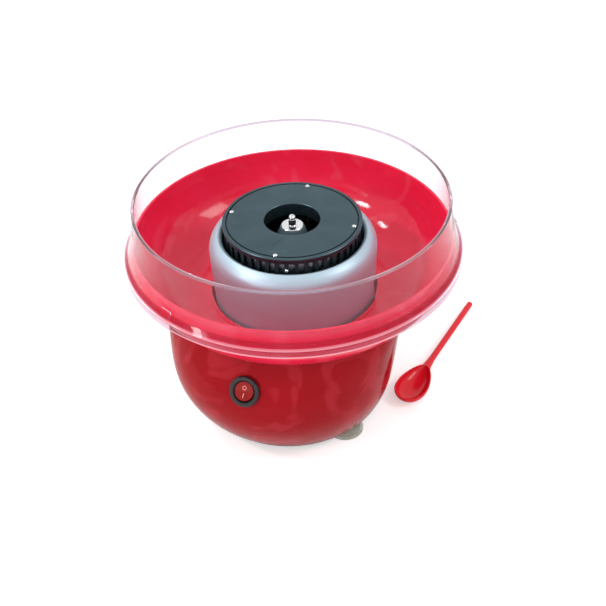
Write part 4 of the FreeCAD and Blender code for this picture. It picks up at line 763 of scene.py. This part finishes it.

# The cast is stronger where the wall is seen edge on and along the beaded rim. The mauve band down by
# the foot is painted shade, for the dark the foot shows by refraction.
tree = guard_clear.node_tree
slant = node(tree, "ShaderNodeLayerWeight", {"Blend": 0.2}).outputs["Facing"]
level = node(tree, "ShaderNodeSeparateXYZ", {0: on_piece(tree)}).outputs["Z"]
rim = remap(tree, level, guard_high.z - rim_bead, guard_high.z - rim_bead + rim_fade)
foot = remap(tree, level, guard_low.z + foot_height + foot_fade, guard_low.z + foot_height)
vary_colour(guard_clear, slant, shade(249, 248, 252), shade(230, 224, 234))
lay_over(guard_clear, rim, shade(150, 142, 158))
# Painted shade: a darker mauve over the foot.
lay_over(guard_clear, foot, shade(208, 186, 200))

# Painted highlight: the ledge, the lower edge and the rim glow faintly, light painted in as emission for
# the light that runs through the wall.
ledge = reckon(tree, "COMPARE", level, guard_low.z + ledge_height, edge_half_width)
skirt = reckon(tree, "COMPARE", level, guard_low.z, edge_half_width)
painted_lower_edge_glow = reckon(tree, "MAXIMUM", ledge, skirt)
painted_edge_glow = reckon(tree, "MAXIMUM", painted_lower_edge_glow, reckon(tree, "MULTIPLY", rim, painted_rim_glow))
feed(guard_clear, "Emission Color", blend(tree, painted_edge_glow, (0.0, 0.0, 0.0, 1.0), shade(255, 226, 234)))

# Shadows and stray light pass straight through, and so does most of what meets the wall at a slant.
path = node(tree, "ShaderNodeLightPath").outputs
unlit = reckon(tree, "MAXIMUM", path["Is Shadow Ray"], path["Is Diffuse Ray"])
brink = remap(tree, slant, slant_edge, slant_full, to_high=open_at_slant)
plastic = tree.nodes["Principled BSDF"].outputs[0]
through = node(tree, "ShaderNodeBsdfTransparent", {"Color": (0.93, 0.92, 0.95, 1.0)}).outputs[0]
clear = node(tree, "ShaderNodeMixShader", {0: reckon(tree, "MAXIMUM", unlit, brink), 1: plastic, 2: through})
tree.links.new(clear.outputs[0], tree.nodes["Material Output"].inputs["Surface"])
dress(guard_clear, "splash_guard")


# ---------------------------------------------------------------- sugar scoop
# A glossy red scoop moulded in one: a drop-shaped cup that runs into a slim straight handle. It comes loose
# with the machine and lies beside it on the table.
scoop_length = 0.172
cup_length = 0.054
cup_width = 0.031
cup_depth = 0.011
scoop_wall = 0.0015
taper_allowance = 0.98
cup_taper = -0.55
neck_overlap = 0.013
neck_half_width = 0.0072
neck_half_height = 0.0034
neck_root = 0.004
handle_below_brim = 0.0036
handle_fall = 0.034
scoop_turn = math.radians(80.0)
scoop_place = Vector((0.1155, 0.009, 0.0001))


def drop_form(length, width, depth):
    """A round-ended drop, wide at the tip and drawn in towards the handle."""
    bpy.ops.object.select_all(action="DESELECT")
    bpy.ops.mesh.primitive_uv_sphere_add(segments=64, ring_count=32, radius=1.0,
                                         rotation=(0.0, math.pi / 2.0, 0.0))
    drop = bpy.context.object
    settle(drop)
    drop.scale = (length / 2.0, width / 2.0, depth)
    settle(drop)
    taper = drop.modifiers.new("taper", "SIMPLE_DEFORM")
    taper.deform_method = "TAPER"
    taper.deform_axis = "X"
    taper.factor = cup_taper
    apply_modifiers(drop)
    return drop


width_before_taper = cup_width * taper_allowance
two_walls = scoop_wall * 2.0
outer = drop_form(cup_length, width_before_taper, cup_depth)
bpy.ops.object.mode_set(mode="EDIT")
bpy.ops.mesh.select_all(action="SELECT")
bpy.ops.mesh.bisect(plane_co=(0.0, 0.0, 0.0), plane_no=(0.0, 0.0, 1.0), use_fill=True, clear_outer=True)
bpy.ops.object.mode_set(mode="OBJECT")
inner = drop_form(cup_length - two_walls, width_before_taper - two_walls, cup_depth - scoop_wall)

# The handle is drawn out of the cup's root in short steps that make its neck, and then in one long run.
bpy.ops.object.select_all(action="DESELECT")
bpy.ops.mesh.primitive_cylinder_add(vertices=48, radius=1.0, depth=neck_root, location=(0.0, 0.0, 0.0),
                                    rotation=(0.0, math.pi / 2.0, 0.0))
handle = bpy.context.object
settle(handle)
handle.scale = (1.0, neck_half_width, neck_half_height)
settle(handle)
handle.location = (cup_length / 2.0 - neck_overlap, 0.0, -handle_below_brim)
settle(handle)
neck_steps = [(0.007, 0.80, 0.95), (0.007, 0.76, 0.95), (0.008, 0.80, 0.96), (0.010, 0.90, 1.0)]
neck_length = sum(run for run, narrower, flatter in neck_steps) + neck_root / 2.0
straight_run = scoop_length - cup_length + neck_overlap - neck_length
bpy.ops.object.mode_set(mode="EDIT")
for run, narrower, flatter in neck_steps + [(straight_run, 1.0, 1.0)]:
    bpy.ops.mesh.select_all(action="DESELECT")
    bpy.ops.object.mode_set(mode="OBJECT")
    end = max(corner.co.x for corner in handle.data.vertices)
    for face in handle.data.polygons:
        face.select = face.center.x > end - 0.00001 and face.normal.x > 0.9
    bpy.ops.object.mode_set(mode="EDIT")
    bpy.ops.mesh.extrude_region_move(TRANSFORM_OT_translate={"value": (run, 0.0, -run * handle_fall)})
    bpy.ops.transform.resize(value=(1.0, narrower, flatter),
                             center_override=(end + run, 0.0, -handle_below_brim))
bpy.ops.object.mode_set(mode="OBJECT")
carved(outer, handle, "UNION")
carved(outer, inner)
even = outer.modifiers.new("even", "REMESH")
even.mode = "VOXEL"
even.voxel_size = 0.00045
calm = outer.modifiers.new("calm", "SMOOTH")
calm.factor = 0.5
calm.iterations = 12
apply_modifiers(outer)
bpy.ops.object.shade_smooth()
lowest = Vector((0.0, 0.0, min(corner.co.z for corner in outer.data.vertices)))
outer.matrix_world = Matrix.Translation(scoop_place - lowest) @ Matrix.Rotation(scoop_turn, 4, "Z")
settle(outer)
outer.name = "scoop"
scoop_red = moulded("scoop_red", 700.0, 40.0, shade(222, 22, 42), shade(214, 20, 38), shade(232, 30, 48),
                    roughness=0.16, relief=0.00003, Coat_Weight=0.1, Coat_Roughness=0.05,
                    Specular_IOR_Level=0.25)
vary(scoop_red, "Roughness", use(scoop_red, rubbed, Size=70.0)["Mask"], 0.14, 0.34)
outer.data.materials.clear()
outer.data.materials.append(scoop_red)
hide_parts("sugar_scoop")
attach(outer, "sugar_scoop")
